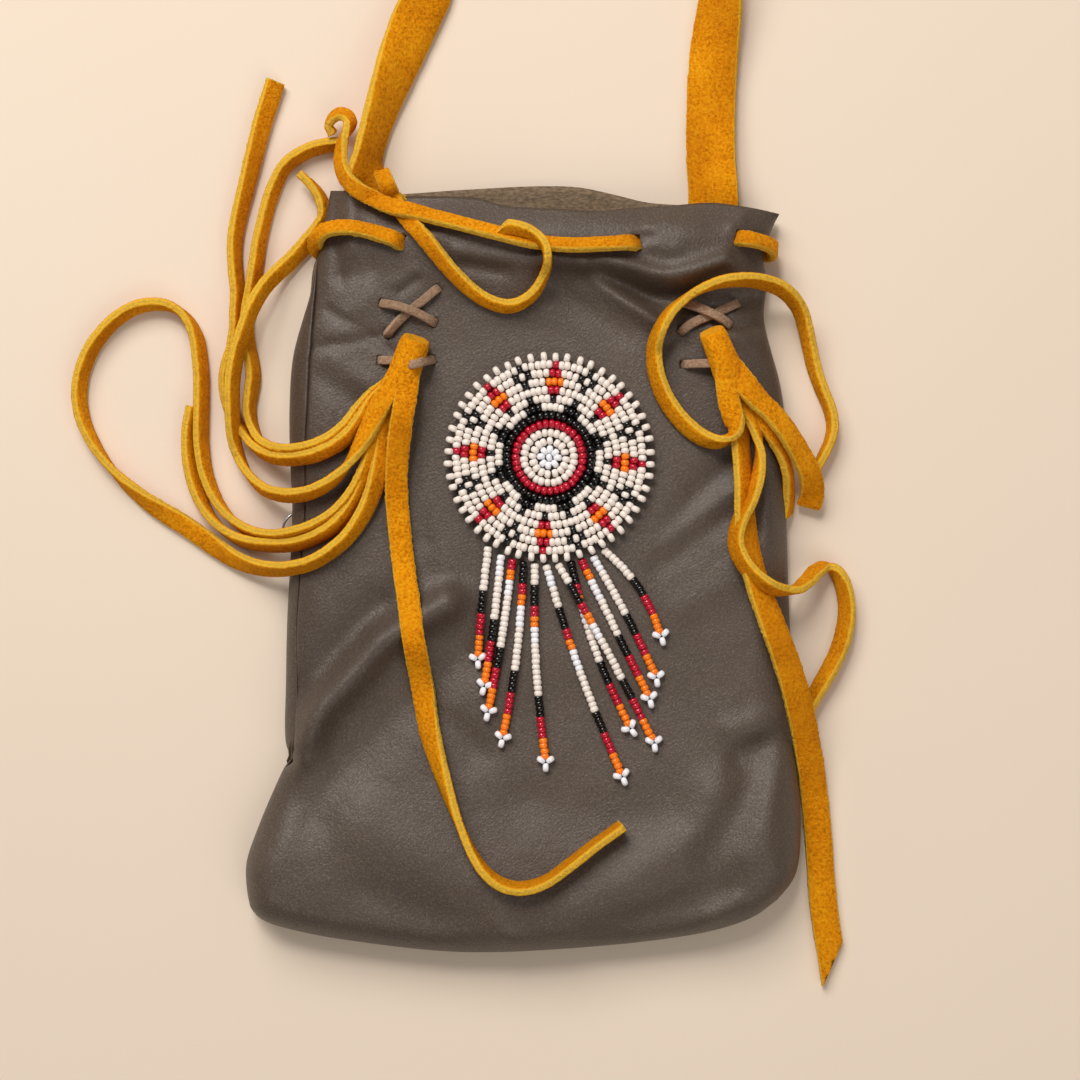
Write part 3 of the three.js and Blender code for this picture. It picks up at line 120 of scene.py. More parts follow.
def smooth_line(points: np.ndarray, step: float) -> tuple[np.ndarray, np.ndarray]:
    """Centripetal curve through chosen points, in even steps.

    Args:
        points: Chosen points, one a row.
        step: Wanted distance between the results.

    Returns:
        The points along the curve, and the number of the chosen point that each is at, with its fraction.
    """
    points = np.asarray(points, float)
    ends = np.vstack([2 * points[0] - points[1], points, 2 * points[-1] - points[-2]])
    share = np.linspace(0, 1, CURVE_STEPS, endpoint=False)[:, None]
    rows, knots = [], []
    for i in range(len(points) - 1):
        a, b, c, d = ends[i:i + 4]
        gaps = [max(np.linalg.norm(q - p), TINY) ** 0.5 for p, q in ((a, b), (b, c), (c, d))]
        leave = (b - a) / gaps[0] - (c - a) / (gaps[0] + gaps[1]) + (c - b) / gaps[1]
        arrive = (c - b) / gaps[1] - (d - b) / (gaps[1] + gaps[2]) + (d - c) / gaps[2]
        leave, arrive = leave * gaps[1], arrive * gaps[1]
        cubic = 2 * b - 2 * c + leave + arrive
        square = -3 * b + 3 * c - 2 * leave - arrive
        rows.append(b + share * leave + share ** 2 * square + share ** 3 * cubic)
        knots.append(i + share[:, 0])
    line = np.vstack([*rows, points[-1:]])
    knot = np.concatenate([*knots, [len(points) - 1]])
    along = np.concatenate([[0], np.cumsum(np.linalg.norm(np.diff(line, axis=0), axis=1))])
    stops = np.linspace(0, along[-1], max(2, math.ceil(along[-1] / step) + 1))
    even = np.stack([np.interp(stops, along, line[:, k]) for k in range(line.shape[1])], axis=1)
    return even, np.interp(stops, along, knot)


def nearest_on(plan: np.ndarray, line: np.ndarray) -> tuple[np.ndarray, np.ndarray]:
    """Distance from each place to a line in plan, and the left-hand side of the line there.

    Args:
        plan: Places in plan, one a row.
        line: The line's points.

    Returns:
        The distances and the unit directions to the line's left.
    """
    best = np.full(len(plan), np.inf)
    left = np.zeros((len(plan), 2))
    for start, end in zip(line[:-1], line[1:]):
        along = end - start
        length = np.hypot(*along)
        if length < TINY:
            continue
        share = np.clip((plan - start) @ along / length ** 2, 0, 1)
        away = np.hypot(*(plan - start - share[:, None] * along).T)
        closer = away < best
        best[closer] = away[closer]
        left[closer] = np.array([-along[1], along[0]]) / length
    return best, left


# Meshes.


def mesh_object(name: str, points: np.ndarray, faces: Sequence[Sequence[int]], materials: Sequence[Material],
                edges: Sequence[tuple[int, int]] = ()) -> Piece:
    """Makes a smooth mesh object at the origin.

    Args:
        name: Name of the piece.
        points: Corners in millimetres.
        faces: Corner numbers of each face.
        materials: Materials of the piece.
        edges: Corner numbers of each edge that no face has.

    Returns:
        The object, linked to the scene.
    """
    mesh = bpy.data.meshes.new(name)
    mesh.from_pydata((np.asarray(points, float) * MM).tolist(), edges, [tuple(f) for f in faces])
    mesh.shade_smooth()
    for material in materials:
        mesh.materials.append(material)
    piece = bpy.data.objects.new(name, mesh)
    bpy.context.scene.collection.objects.link(piece)
    return piece


def tube_faces(rings: int, sides: int, turned: bool = False, closed: bool = False) -> list[tuple[int, ...]]:
    """Faces of a tube made of rings of points.

    Args:
        rings: How many rings it has.
        sides: Points on each ring.
        turned: Whether its rings run the other way round.
        closed: Whether its last ring meets its first, so that it has no end faces.

    Returns:
        Corner numbers of each face.
    """
    faces = []
    for i in range(rings if closed else rings - 1):
        a, b = i * sides, (i + 1) % rings * sides
        for k in range(sides):
            n = (k + 1) % sides
            faces.append((a + k, a + n, b + n, b + k) if turned else (a + k, b + k, b + n, a + n))
    if not closed:
        first, last = tuple(range(sides)), tuple(range((rings - 1) * sides, rings * sides))
        faces += [first[::-1], last] if turned else [first, last[::-1]]
    return faces


def paint(piece: Piece, name: str, values: np.ndarray) -> None:
    """Stores one number for each corner of a piece's mesh, under the name that its material reads."""
    layer = piece.data.attributes.new(name, "FLOAT", "POINT")
    layer.data.foreach_set("value", np.asarray(values, np.float32))


def plain_mesh(piece: Piece) -> None:
    """Turns a piece with live modifiers into the plain mesh that they make.

    Args:
        piece: The piece.
    """
    made = bpy.data.meshes.new_from_object(piece.evaluated_get(bpy.context.evaluated_depsgraph_get()))
    piece.modifiers.clear()
    piece.data = made


def place(piece: Piece, slot: Slot, *nodes: str) -> None:
    """Fixes a piece to the pouch in place of its solids, and reports it.

    Args:
        piece: Finished piece.
        slot: Record's slot for its finish; not used.
        nodes: Solids that it stands for.
    """
    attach(piece, BODY)
    if nodes:
        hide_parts(*nodes)
    LOG.info("%s: %d faces", piece.name, len(piece.data.polygons))


# Nodes.


def linear(code: str) -> Colour:
    """Turns an sRGB colour to linear light.

    Args:
        code: The colour as "#rrggbb".

    Returns:
        Its red, green and blue, and an alpha of 1.
    """
    shares = [int(code[i:i + 2], 16) / 255 for i in (1, 3, 5)]
    light = [s / 12.92 if s <= 0.04045 else ((s + 0.055) / 1.055) ** 2.4 for s in shares]
    return light[0], light[1], light[2], 1.0


def feed(tree: Tree, node: bpy.types.Node, inputs: dict) -> None:
    """Sets or links a node's inputs.

    Args:
        tree: Tree that holds the node.
        node: Node to set.
        inputs: Socket name or number to a value, or to an output socket that is linked to it.
    """
    for name, value in inputs.items():
        if isinstance(value, Socket):
            tree.links.new(value, node.inputs[name])
        else:
            node.inputs[name].default_value = value


def add_node(tree: Tree, kind: str, inputs: dict | None = None, **settings) -> bpy.types.Node:
    """Adds a node with its settings and links.

    Args:
        tree: Tree that gets the node.
        kind: Blender's name of the node type.
        inputs: Its inputs, as feed takes them.
        settings: Properties of the node.

    Returns:
        The new node.
    """
    node = tree.nodes.new(kind)
    for name, value in settings.items():
        setattr(node, name, value)
    feed(tree, node, inputs or {})
    return node


def new_material(name: str) -> tuple[Material, Tree, bpy.types.Node]:
    """Makes a node material with the name of the real material and its finish.

    Args:
        name: Its name.

    Returns:
        The material, its tree and its surface shader.
    """
    material = bpy.data.materials.new(name)
    material.use_nodes = True
    tree = material.node_tree
    return material, tree, tree.nodes["Principled BSDF"]


def own_places(tree: Tree) -> Socket:
    """Places in the pouch's own frame."""
    return add_node(tree, "ShaderNodeTexCoord").outputs["Object"]


def per_mm(size_mm: float) -> float:
    """Texture scale for a pattern whose cells have a real size in millimetres."""
    return 1.0 / (size_mm * MM)


def noise(tree: Tree, where: Socket, size_mm: float, detail: float, roughness: float = 0.5) -> Socket:
    """Cloudy pattern about 0.5, with lumps of a real size and finer layers of a detail and roughness."""
    return add_node(tree, "ShaderNodeTexNoise", {
        "Vector": where, "Scale": per_mm(size_mm), "Detail": detail, "Roughness": roughness}).outputs[0]


def mix(tree: Tree, share: Socket, first: Socket | Colour, second: Socket | Colour) -> Socket:
    """Blends two colours, by the second one's share."""
    return add_node(tree, "ShaderNodeMix", {0: share, 6: first, 7: second}, data_type="RGBA").outputs[2]


def ramp(tree: Tree, value: Socket, low: float, high: float, start: float = 0.0, end: float = 1.0) -> Socket:
    """Takes a value that goes from low to high to one that goes from start to end."""
    return add_node(tree, "ShaderNodeMapRange", {0: value, 1: low, 2: high, 3: start, 4: end}).outputs[0]


def bump(tree: Tree, height: Socket, strength: float, depth_mm: float, beneath: Socket | None = None,
         sunk: bool = False) -> Socket:
    """Direction of a surface with a relief.

    Args:
        tree: Material's tree.
        height: Pattern of the relief.
        strength: Share of the relief that shows.
        depth_mm: Its real depth.
        beneath: Direction of a broader relief under it.
        sunk: Whether high parts of the pattern are low.

    Returns:
        The direction.
    """
    inputs = {"Height": height, "Strength": strength, "Distance": depth_mm * MM}
    if beneath is not None:
        inputs["Normal"] = beneath
    return add_node(tree, "ShaderNodeBump", inputs, invert=sunk).outputs[0]


class Repeater:
    """A Geometry Nodes tree that sets copies of one shape on places, with sizes as its named inputs."""

    def __init__(self, name: str, sizes: Sequence[str]) -> None:
        """Starts the tree.

        Args:
            name: Name of the tree.
            sizes: Names of the sizes that each piece sets.
        """
        self.tree = bpy.data.node_groups.new(name, "GeometryNodeTree")
        face = self.tree.interface
        face.new_socket("Places", in_out="INPUT", socket_type="NodeSocketGeometry")
        face.new_socket("Copies", in_out="OUTPUT", socket_type="NodeSocketGeometry")
        self.sockets = {}
        for size in sizes:
            socket = face.new_socket(size, in_out="INPUT", socket_type="NodeSocketFloat")
            self.sockets[size] = socket.identifier
        self.given = add_node(self.tree, "NodeGroupInput").outputs

    def add(self, kind: str, inputs: dict | None = None, **settings) -> Socket:
        """Adds a node to the tree and gives its first output."""
        return add_node(self.tree, kind, inputs, **settings).outputs[0]

    def finish(self, copies: Socket, material: Material) -> None:
        """Ends the tree with real, smooth copies.

        Args:
            copies: The instances.
            material: Their finish.
        """
        real = self.add("GeometryNodeRealizeInstances", {"Geometry": copies})
        soft = self.add("GeometryNodeSetShadeSmooth", {"Geometry": real})
        dressed = self.add("GeometryNodeSetMaterial", {"Geometry": soft, "Material": material})
        add_node(self.tree, "NodeGroupOutput", {"Copies": dressed})

    def apply(self, piece: Piece, sizes: dict[str, float]) -> None:
        """Turns a piece's places into its copies for good.

        Args:
            piece: Mesh of the places.
            sizes: Each named size in millimetres.
        """
        maker = piece.modifiers.new("copies", "NODES")
        maker.node_group = self.tree
        for name, size in sizes.items():
            maker[self.sockets[name]] = size * MM
        plain_mesh(piece)


# Finishes.


@dataclass(frozen=True)
class GrainLeather:
    """Soft drum-dyed garment leather, grain side out: drawn-out fine grain, soft wrinkles and a low sheen."""

    base: str = "#53463c"
    deep: str = "#3c322b"
    # Paler colour of the grain's tops: rubbed leather and a painted highlight.
    worn_and_highlight: str = "#756759"
    cloud_mm: float = 38.0
    grain_mm: float = 0.36
    grain_draw: float = 1.7
    grain_way: float = 42.0
    grain_depth: float = 0.2
    pebble_mm: float = 0.8
    wrinkle_mm: float = 17.0
    wrinkle_depth: float = 0.7
    roughness: float = 0.42

    def material(self) -> Material:
        """Makes the leather's material: the pores are darker, partly held dye and partly painted shade, and
        the tops of the grain are paler, partly rubbed and partly a painted highlight.

        Returns:
            The material.
        """
        material, tree, shader = new_material("taupe_grain_leather")
        where = own_places(tree)
        cloud = noise(tree, where, self.cloud_mm, 5.0, 0.62)
        tone = mix(tree, cloud, linear(self.deep), linear(self.base))
        drawn = add_node(tree, "ShaderNodeMapping", {
            "Vector": where, "Rotation": (0.0, 0.0, math.radians(self.grain_way)),
            "Scale": (self.grain_draw, 1.0, 1.0)}, vector_type="TEXTURE")
        grain = noise(tree, drawn.outputs[0], self.grain_mm, 3.0, 0.6)
        # The grain's low parts take the deep colour as dye and painted shade. Its high parts take the paler
        # colour as rubbing and a painted highlight.
        pits_and_shade = mix(tree, ramp(tree, grain, 0.3, 0.5, 0.5, 0.0), tone, linear(self.deep))
        colour = mix(tree, ramp(tree, grain, 0.5, 0.72, 0.0, 0.5), pits_and_shade, linear(self.worn_and_highlight))
        rough = ramp(tree, grain, 0.25, 0.75, self.roughness + 0.1, self.roughness - 0.06)
        wrinkle = add_node(tree, "ShaderNodeTexNoise", {
            "Vector": where, "Scale": per_mm(self.wrinkle_mm), "Detail": 3.0, "Roughness": 0.5,
            "Lacunarity": 2.2}, noise_type="RIDGED_MULTIFRACTAL")
        pebble = add_node(tree, "ShaderNodeTexVoronoi", {
            "Vector": where, "Scale": per_mm(self.pebble_mm), "Smoothness": 0.6}, feature="SMOOTH_F1")
        soft = bump(tree, wrinkle.outputs[0], 0.3, self.wrinkle_depth)
        pebbled = bump(tree, pebble.outputs["Distance"], 0.35, self.grain_depth, soft, sunk=True)
        fine = bump(tree, grain, 0.8, self.grain_depth, pebbled)
        feed(tree, shader, {
            "Base Color": colour, "Roughness": rough, "Normal": fine, "Specular IOR Level": 0.5})
        return material


@dataclass(frozen=True)
class FleshSide:
    """Flesh side and cut edge of the same leather: olive brown, fibrous and matt."""

    base: str = "#5b4f40"
    pale: str = "#957f68"
    fibre_mm: float = 0.55
    fibre_draw: float = 0.45
    fibre_depth: float = 0.4

    def material(self) -> Material:
        """Makes the flesh side's material.

        Returns:
            The material.
        """
        material, tree, shader = new_material("taupe_leather_flesh_side")
        drawn = add_node(tree, "ShaderNodeMapping", {
            "Vector": own_places(tree), "Scale": (self.fibre_draw, 1.0, 1.0)})
        fibre = noise(tree, drawn.outputs[0], self.fibre_mm, 5.0, 0.7)
        colour = mix(tree, ramp(tree, fibre, 0.35, 0.7), linear(self.base), linear(self.pale))
        feed(tree, shader, {
            "Base Color": colour, "Normal": bump(tree, fibre, 0.8, self.fibre_depth), "Roughness": 0.95,
            "Specular IOR Level": 0.15})
        return material


@dataclass(frozen=True)
class Suede:
    """Split suede with a brushed nap: mottled faces, bright fuzzy rims, and a greyer core down each cut."""

    name: str
    deep: str
    base: str
    pale: str
    rim: str
    core: str
    patch_mm: float = 6.0
    nap_mm: float = 0.8
    nap_depth: float = 0.9
    nap_share: float = 0.8
    fleck_mm: float = 0.5
    stroke_mm: float = 26.0

    def material(self) -> Material:
        """Makes the suede's material, which reads the cut_edge mark of each lace.

        Returns:
            The material.
        """
        material, tree, shader = new_material(self.name)
        where = own_places(tree)
        patch = noise(tree, where, self.patch_mm, 3.0)
        nap = noise(tree, where, self.nap_mm, 5.0, 0.7)
        both = add_node(tree, "ShaderNodeMix", {0: self.nap_share, 2: patch, 3: nap}).outputs[0]
        dark = mix(tree, ramp(tree, both, 0.34, 0.5), linear(self.deep), linear(self.base))
        face = mix(tree, ramp(tree, both, 0.5, 0.64), dark, linear(self.pale))
        laid = ramp(tree, noise(tree, where, self.stroke_mm, 1.0), 0.42, 0.62, 0.0, 0.42)
        stroked = mix(tree, laid, face, linear(self.deep))
        mark = add_node(tree, "ShaderNodeAttribute", attribute_name="cut_edge").outputs["Fac"]
        edged = mix(tree, ramp(tree, mark, 0.1, 0.5), stroked, linear(self.rim))
        speck = noise(tree, where, self.fleck_mm, 3.0)
        ragged = add_node(tree, "ShaderNodeMath", {0: speck, 1: 1.4, 2: mark}, operation="MULTIPLY_ADD")
        cut = ramp(tree, ragged.outputs[0], 1.35, 1.8, 0.0, 0.6)
        feed(tree, shader, {
            "Base Color": mix(tree, cut, edged, linear(self.core)),
            "Normal": bump(tree, nap, 1.0, self.nap_depth), "Roughness": 0.95, "Specular IOR Level": 0.12,
            "Sheen Weight": 0.2, "Sheen Roughness": 0.55, "Sheen Tint": linear(self.pale)})
        return material


@dataclass(frozen=True)
class SeedBeadGlass:
    """Opaque pressed glass: hard gloss over a solid colour that each bead carries itself."""

    cloud_mm: float = 1.1
    roughness: float = 0.07
    bend: float = 1.52

    def material(self) -> Material:
        """Makes the beads' material, which reads the bead_colour of each bead.

        Returns:
            The material.
        """
        material, tree, shader = new_material("opaque_seed_bead_glass")
        colour = add_node(tree, "ShaderNodeAttribute", attribute_name="bead_colour").outputs["Color"]
        shade = ramp(tree, noise(tree, own_places(tree), self.cloud_mm, 2.0), 0.25, 0.75, 0.93, 1.03)
        tinted = add_node(tree, "ShaderNodeVectorMath", {0: colour, "Scale": shade}, operation="SCALE")
        feed(tree, shader, {"Base Color": tinted.outputs[0], "Roughness": self.roughness, "IOR": self.bend})
        return material


@dataclass(frozen=True)
class DrawnWire:
    """Bright drawn wire: polished metal with faint drawing marks."""

    colour: str = "#c9c9cc"
    mark_mm: float = 0.5

    def material(self) -> Material:
        """Makes the wire's material.

        Returns:
            The material.
        """
        material, tree, shader = new_material("bright_drawn_wire")
        rough = ramp(tree, noise(tree, own_places(tree), self.mark_mm, 2.0), 0.0, 1.0, 0.14, 0.3)
        feed(tree, shader, {"Base Color": linear(self.colour), "Metallic": 1.0, "Roughness": rough})
        return material


@dataclass(frozen=True)
class MattFibre:
    """Felt, thread or woven tape: a matt fibrous surface with a fine two-tone pattern."""

    name: str
    base: str
    pale: str
    fibre_mm: float
    fibre_depth: float = 0.3

    def material(self) -> Material:
        """Makes the fibre's material.

        Returns:
            The material.
        """
        material, tree, shader = new_material(self.name)
        weave = noise(tree, own_places(tree), self.fibre_mm, 3.0, 0.6)
        feed(tree, shader, {
            "Base Color": mix(tree, weave, linear(self.base), linear(self.pale)),
            "Normal": bump(tree, weave, 0.6, self.fibre_depth), "Roughness": 0.95})
        return material


GOLDEN_SUEDE = Suede("golden_split_suede", "#b56502", "#f69a05", "#ffba1d", "#f9c53c", "#bd9848")
TAN_LACE = Suede("tan_suede_lace", "#8a6d56", "#ad8f77", "#c4a78e", "#bd9f86", "#90745d")
# Dark seam thread: stitching, and painted shade in the seam's groove.
WAXED_THREAD_GROOVE_SHADE = MattFibre("dark_thread_groove_shade", "#2b2520", "#463d35", 0.3)
# Painted shade: the rosette's backing is dark brown so that the gaps between the beads read as shadow.
BACKING_FELT_GAP_SHADE = MattFibre("backing_felt_gap_shade", "#4a3d33", "#6b5a4b", 0.5)
COTTON_TAPE = MattFibre("unbleached_cotton_tape", "#cbbfa8", "#e4dccb", 0.45)


# The leather bag.


@dataclass(frozen=True)
class Fold:
    """A soft ridge, or a valley where its height is under 0, along a line of places."""

    line: tuple[Place, ...]
    height: float
    width: float

    def at(self, plan: np.ndarray) -> np.ndarray:
        """Height of the fold at each place."""
        distance, _ = nearest_on(plan, np.array(self.line, float))
        return self.height * np.exp(-((distance / self.width) ** 2))


@dataclass
class Pouch:
    """The two leather panels and the turned seam on the left.

    The five curves of the outline are shares of the half width and the half length. A span is the two places
    along the pouch between which a height or a roll changes. Each lump has a height, a size and a seed.
    """

    width: float = 141.0
    length: float = 194.0
    leather: float = 1.4
    body_height: float = 12.0
    mouth_height: float = 13.0
    mouth_span: Span = (70.0, 84.0)
    lip_drop: float = 4.2
    lip_span: Span = (82.0, 95.0)
    lip_wave: float = 0.7
    lip_wave_step: float = 8.5
    lip_wave_start: float = 0.6
    base_height: float = 16.0
    base_middle: float = -80.0
    base_spread: float = 25.0
    lumps: tuple[Lump, ...] = ((0.45, 26.0, 3.1), (0.22, 9.0, 7.7), (0.08, 3.2, 1.3))
    side_roll: float = 11.0
    base_roll: float = 7.5
    base_roll_span: Span = (-55.0, -85.0)
    under_roll: float = 2.5
    back_lift: float = 2.6
    back_lift_span: Span = (56.0, 72.0)
    seam_height: float = 2.5
    seam_dip: float = 1.8
    seam_round: float = 0.65
    seam_full_turn: float = 0.6
    seam_turn_gap: float = 0.016
    front_gap: float = 0.15
    back_gap: float = 0.06
    stitched: Span = (0.14, 0.75)
    stitch_points: int = 160
    stitch_depth: float = 0.8
    knife: Span = (3.4, 26.0)
    seam_strip: tuple[Place, ...] = (
        (-51.0, 0.0), (-48.4, 0.9), (-45.6, 2.6), (-42.6, 4.2), (-39.0, 4.8), (-33.0, 4.5), (-22.6, 4.1),
        (-13.0, 3.7), (2.0, 3.9), (13.0, 4.5), (18.5, 4.8), (35.0, 5.6), (40.6, 6.0), (48.8, 6.0),
        (57.0, 5.4), (62.6, 4.0), (68.0, 2.4), (76.0, 0.6), (86.0, 0.0))
    rosette: Spot = (6.5, 28.0, 29.7)
    rosette_blend: float = 12.0
    columns: int = 176
    column_crowd: float = 0.88
    rows: int = 236
    row_shift: float = 0.12
    row_crowd: float = 0.12
    back_columns: int = 84
    back_crowd: float = 0.9
    wrap_columns: int = 26
    wrap_crowd: float = 1.6
    corner_steps: int = 6
    curve_step: float = 0.5
    left_side: tuple[Place, ...] = (
        (-0.692, 0.987), (-0.706, 0.932), (-0.733, 0.833), (-0.76, 0.731), (-0.828, 0.564),
        (-0.843, 0.418), (-0.84, 0.276), (-0.833, 0.161), (-0.84, 0.02), (-0.851, -0.132),
        (-0.856, -0.309), (-0.859, -0.42), (-0.853, -0.462), (-0.837, -0.488), (-0.861, -0.517),
        (-0.896, -0.571), (-0.953, -0.67), (-0.996, -0.765), (-0.994, -0.832), (-0.983, -0.876))
    right_side: tuple[Place, ...] = (
        (0.915, 0.924), (0.887, 0.879), (0.861, 0.804), (0.874, 0.752), (0.864, 0.658), (0.894, 0.566),
        (0.919, 0.501), (0.938, 0.418), (0.946, 0.258), (0.948, 0.096), (0.959, -0.142), (0.967, -0.309),
        (0.973, -0.456), (0.987, -0.539), (0.998, -0.649), (0.987, -0.774), (0.965, -0.814),
        (0.912, -0.861))
    base_edge: tuple[Place, ...] = (
        (-0.983, -0.876), (-0.966, -0.896), (-0.926, -0.918), (-0.789, -0.947), (-0.601, -0.971),
        (-0.224, -0.999), (0.153, -0.99), (0.505, -0.965), (0.699, -0.939), (0.828, -0.905),
        (0.912, -0.861))
    front_mouth: tuple[Place, ...] = (
        (-0.692, 0.987), (-0.489, 0.969), (-0.298, 0.966), (-0.156, 0.959), (-0.064, 0.938),
        (0.128, 0.928), (0.262, 0.923), (0.397, 0.933), (0.504, 0.938), (0.674, 0.948), (0.773, 0.94),
        (0.915, 0.924))
    back_mouth: tuple[Place, ...] = (
        (-0.692, 0.987), (-0.496, 0.979), (-0.227, 0.99), (0.057, 0.999), (0.199, 0.995), (0.333, 0.974),
        (0.44, 0.955), (0.638, 0.944), (0.78, 0.932), (0.91, 0.918))
    folds: tuple[Fold, ...] = (
        Fold(((-19, -8), (-35.2, -17.8), (-43.5, -27.5), (-49.3, -33.4), (-52.8, -38.6),
              (-56.2, -46)), 5.6, 4.5),
        Fold(((-14, -21), (-29, -33), (-40, -44), (-52, -60)), -2, 6.5),
        Fold(((-36, -9), (-46, -19), (-54, -30)), -1.6, 4),
        Fold(((-14, 84), (38, 84)), 3.6, 14.5),
        Fold(((6, 77.4), (19.1, 76.4), (26.3, 75.2), (31.5, 73.5), (36, 72.9), (42.3, 74.4),
              (50, 77)), 3.2, 2.5),
        Fold(((17, 74), (27.4, 69.8), (35.6, 68), (46, 67.2), (58, 68.6)), -3.2, 3),
        Fold(((15.5, 75), (19.1, 72), (25.3, 67.6), (31.5, 63.4), (35, 60.6)), 2.7, 2.3),
        Fold(((28, 72), (33, 65), (38, 57)), -1, 3),
        Fold(((9.2, 70), (24.2, 57.5)), -1.2, 3.6),
        Fold(((3, 63), (16, 58)), 0.7, 4),
        Fold(((50, 61.8), (55, 61.2), (61, 61.6)), -1.5, 1.6),
        Fold(((49, 58.6), (55, 58.2), (61, 57.5)), 1, 2.2),
        Fold(((29.6, 82.6), (31, 82.8)), -0.9, 1.7),
        Fold(((31.5, 85), (36, 87)), 0.5, 1.4),
        Fold(((32, 80.6), (38, 79.6)), 0.6, 1.5),
        Fold(((52, 86), (55, 88.5)), 0.5, 1.6),
        Fold(((34.2, 12.2), (51.5, 26)), -1.4, 4),
        Fold(((34.2, 2), (49.5, 13)), -1.1, 4),
        Fold(((36, 7), (52, 19.5)), 1, 3),
        Fold(((40, -10), (56, 2)), 0.8, 4.5),
        Fold(((62.5, 28), (62, 10), (63, -8)), 1.2, 3.6),
        Fold(((58, 26), (57.5, 10)), -1, 2.6),
        Fold(((60, -46), (53, -60), (46.2, -70)), -1.5, 4.8),
        Fold(((66, -48), (58, -68), (54, -76)), 1.4, 5),
        Fold(((49, -56), (43.5, -66), (30, -76), (15, -85)), 1.9, 7),
        Fold(((53, -77), (35.2, -86), (16.2, -90.5)), -1.8, 4.6),
        Fold(((53, -82), (47, -87)), 0.9, 2.2),
        Fold(((66, -42), (54, -46.5)), -1.6, 3.2),
        Fold(((64, -36), (52, -40)), 1, 3.4),
        Fold(((-52.6, 55.7), (-44.6, 56.7), (-34.6, 59)), -0.6, 1.3),
        Fold(((-48.8, 65), (-42, 61.2), (-33, 54.7)), -0.5, 1.3),
        Fold(((-30.8, 69.5), (-26.6, 72.7)), -0.9, 0.9),
        Fold(((-32, 71.6), (-27, 74.8)), 0.4, 1.6),
        Fold(((-52, 60.5), (-43, 58.8)), 0.5, 2.6),
        Fold(((-46, 52), (-38, 46)), 0.6, 3.4),
        Fold(((-50, 48), (-42, 42)), -0.5, 3),
        Fold(((-44, 64.5), (-38, 68)), 0.4, 2.8),
        Fold(((-45, 73), (-38, 75.5)), -0.5, 2.6),
        Fold(((-17, 79.5), (-6, 77.6), (3, 76.4)), 1, 1.9),
        Fold(((-15, 75.8), (-5, 74.2)), -0.9, 1.7),
        Fold(((-48, 95), (-47.5, 84), (-46, 74)), -1.1, 2),
        Fold(((-43.5, 94), (-42.5, 80)), 1, 2.2),
        Fold(((-22, 42), (-20, 18), (-19, 2)), 0.9, 3.4),
        Fold(((-26, 36), (-24.5, 8)), -0.8, 3),
        Fold(((0, -58), (20, -62), (36, -60)), -0.9, 7),
        Fold(((-40, -62), (-20, -74), (4, -86)), 1.1, 8),
        Fold(((-40, -80), (-22, -86)), -0.9, 5),
        Fold(((-22, -36), (-12, -45)), -1, 4.5),
        Fold(((-6, -88), (-2, -93)), 0.8, 3),
    )

    def __post_init__(self) -> None:
        """Works out the outline's curves from their shares."""
        half = np.array([self.width / 2, self.length / 2])
        curves = (self.left_side, self.right_side, self.base_edge, self.front_mouth, self.back_mouth)
        self.left, self.right, self.base, self.front_top, self.back_top = (
            smooth_line(np.array(shares) * half, self.curve_step)[0] for shares in curves)
        self.outline = np.vstack([self.left[::3], self.base[::3], self.right[::-3]])

    @staticmethod
    def along(curve: np.ndarray, share: np.ndarray) -> np.ndarray:
        """Places on a curve at shares of its length."""
        stops = np.linspace(0, 1, len(curve))
        return np.stack([np.interp(share, stops, curve[:, k]) for k in range(2)], axis=-1)

    def plan(self, mouth: np.ndarray, across: np.ndarray, down: np.ndarray) -> np.ndarray:
        """Places in plan between the four edges.

        Args:
            mouth: Curve of the mouth's edge.
            across: Shares from left to right.
            down: Shares from the mouth to the base.

        Returns:
            One place for each pair of shares.
        """
        u, v = across[..., None], down[..., None]
        sides = self.along(self.left, down) * (1 - u) + self.along(self.right, down) * u
        ends = self.along(mouth, across) * (1 - v) + self.along(self.base, across) * v
        upper = mouth[0] * (1 - u) + mouth[-1] * u
        lower = self.base[0] * (1 - u) + self.base[-1] * u
        return sides + ends - (upper * (1 - v) + lower * v)

    def lift(self, y: np.ndarray) -> np.ndarray:
        """Height of the back above the table, where the drawstring runs under it."""
        return self.back_lift * ease(y, *self.back_lift_span)

    def fullness(self, plan: np.ndarray) -> np.ndarray:
        """Height of the front away from its rolled edges.

        Args:
            plan: Places in plan, one a row.

        Returns:
            Heights in millimetres.
        """
        x, y = plan.T
        centre_x, centre_y, reach = self.rosette
        soft = ease(np.hypot(x - centre_x, y - centre_y), reach, reach + self.rosette_blend)
        away = (y - self.base_middle) / self.base_spread
        puff = (self.base_height - self.body_height) * np.exp(-(away ** 2))
        lip = ease(y, *self.lip_span)
        mouth = (self.mouth_height - self.body_height) * ease(y, *self.mouth_span) - self.lip_drop * lip
        folds = sum(fold.at(plan) for fold in self.folds)
        flat = np.column_stack([plan, np.zeros(len(plan))])
        lumps = sum(height * wobble(flat, size, seed) for height, size, seed in self.lumps)
        wave = self.lip_wave * np.sin(x / self.lip_wave_step + self.lip_wave_start) * lip
        return self.body_height + soft * (puff + mouth + folds + lumps + wave)

    def seam_turn(self, down: np.ndarray) -> np.ndarray:
        """Angle round the left edge of the turned seam, which runs out at the fold near the base."""
        places, strips = zip(*self.seam_strip)
        return np.arccos(1 - np.interp(self.along(self.left, down)[..., 1], places, strips) / self.side_roll)

    def left_edge(self, down: np.ndarray) -> tuple[np.ndarray, ...]:
        """Left edge at shares of the way down.

        Args:
            down: Shares from the mouth to the base.

        Returns:
            Its places, the way in from each, the seam's height there and the front's rise above that.
        """
        edge = self.along(self.left, down)
        _, inward = nearest_on(edge, self.outline)
        seam = self.lift(edge[:, 1]) + self.seam_height
        return edge, inward, seam, self.fullness(edge) - seam

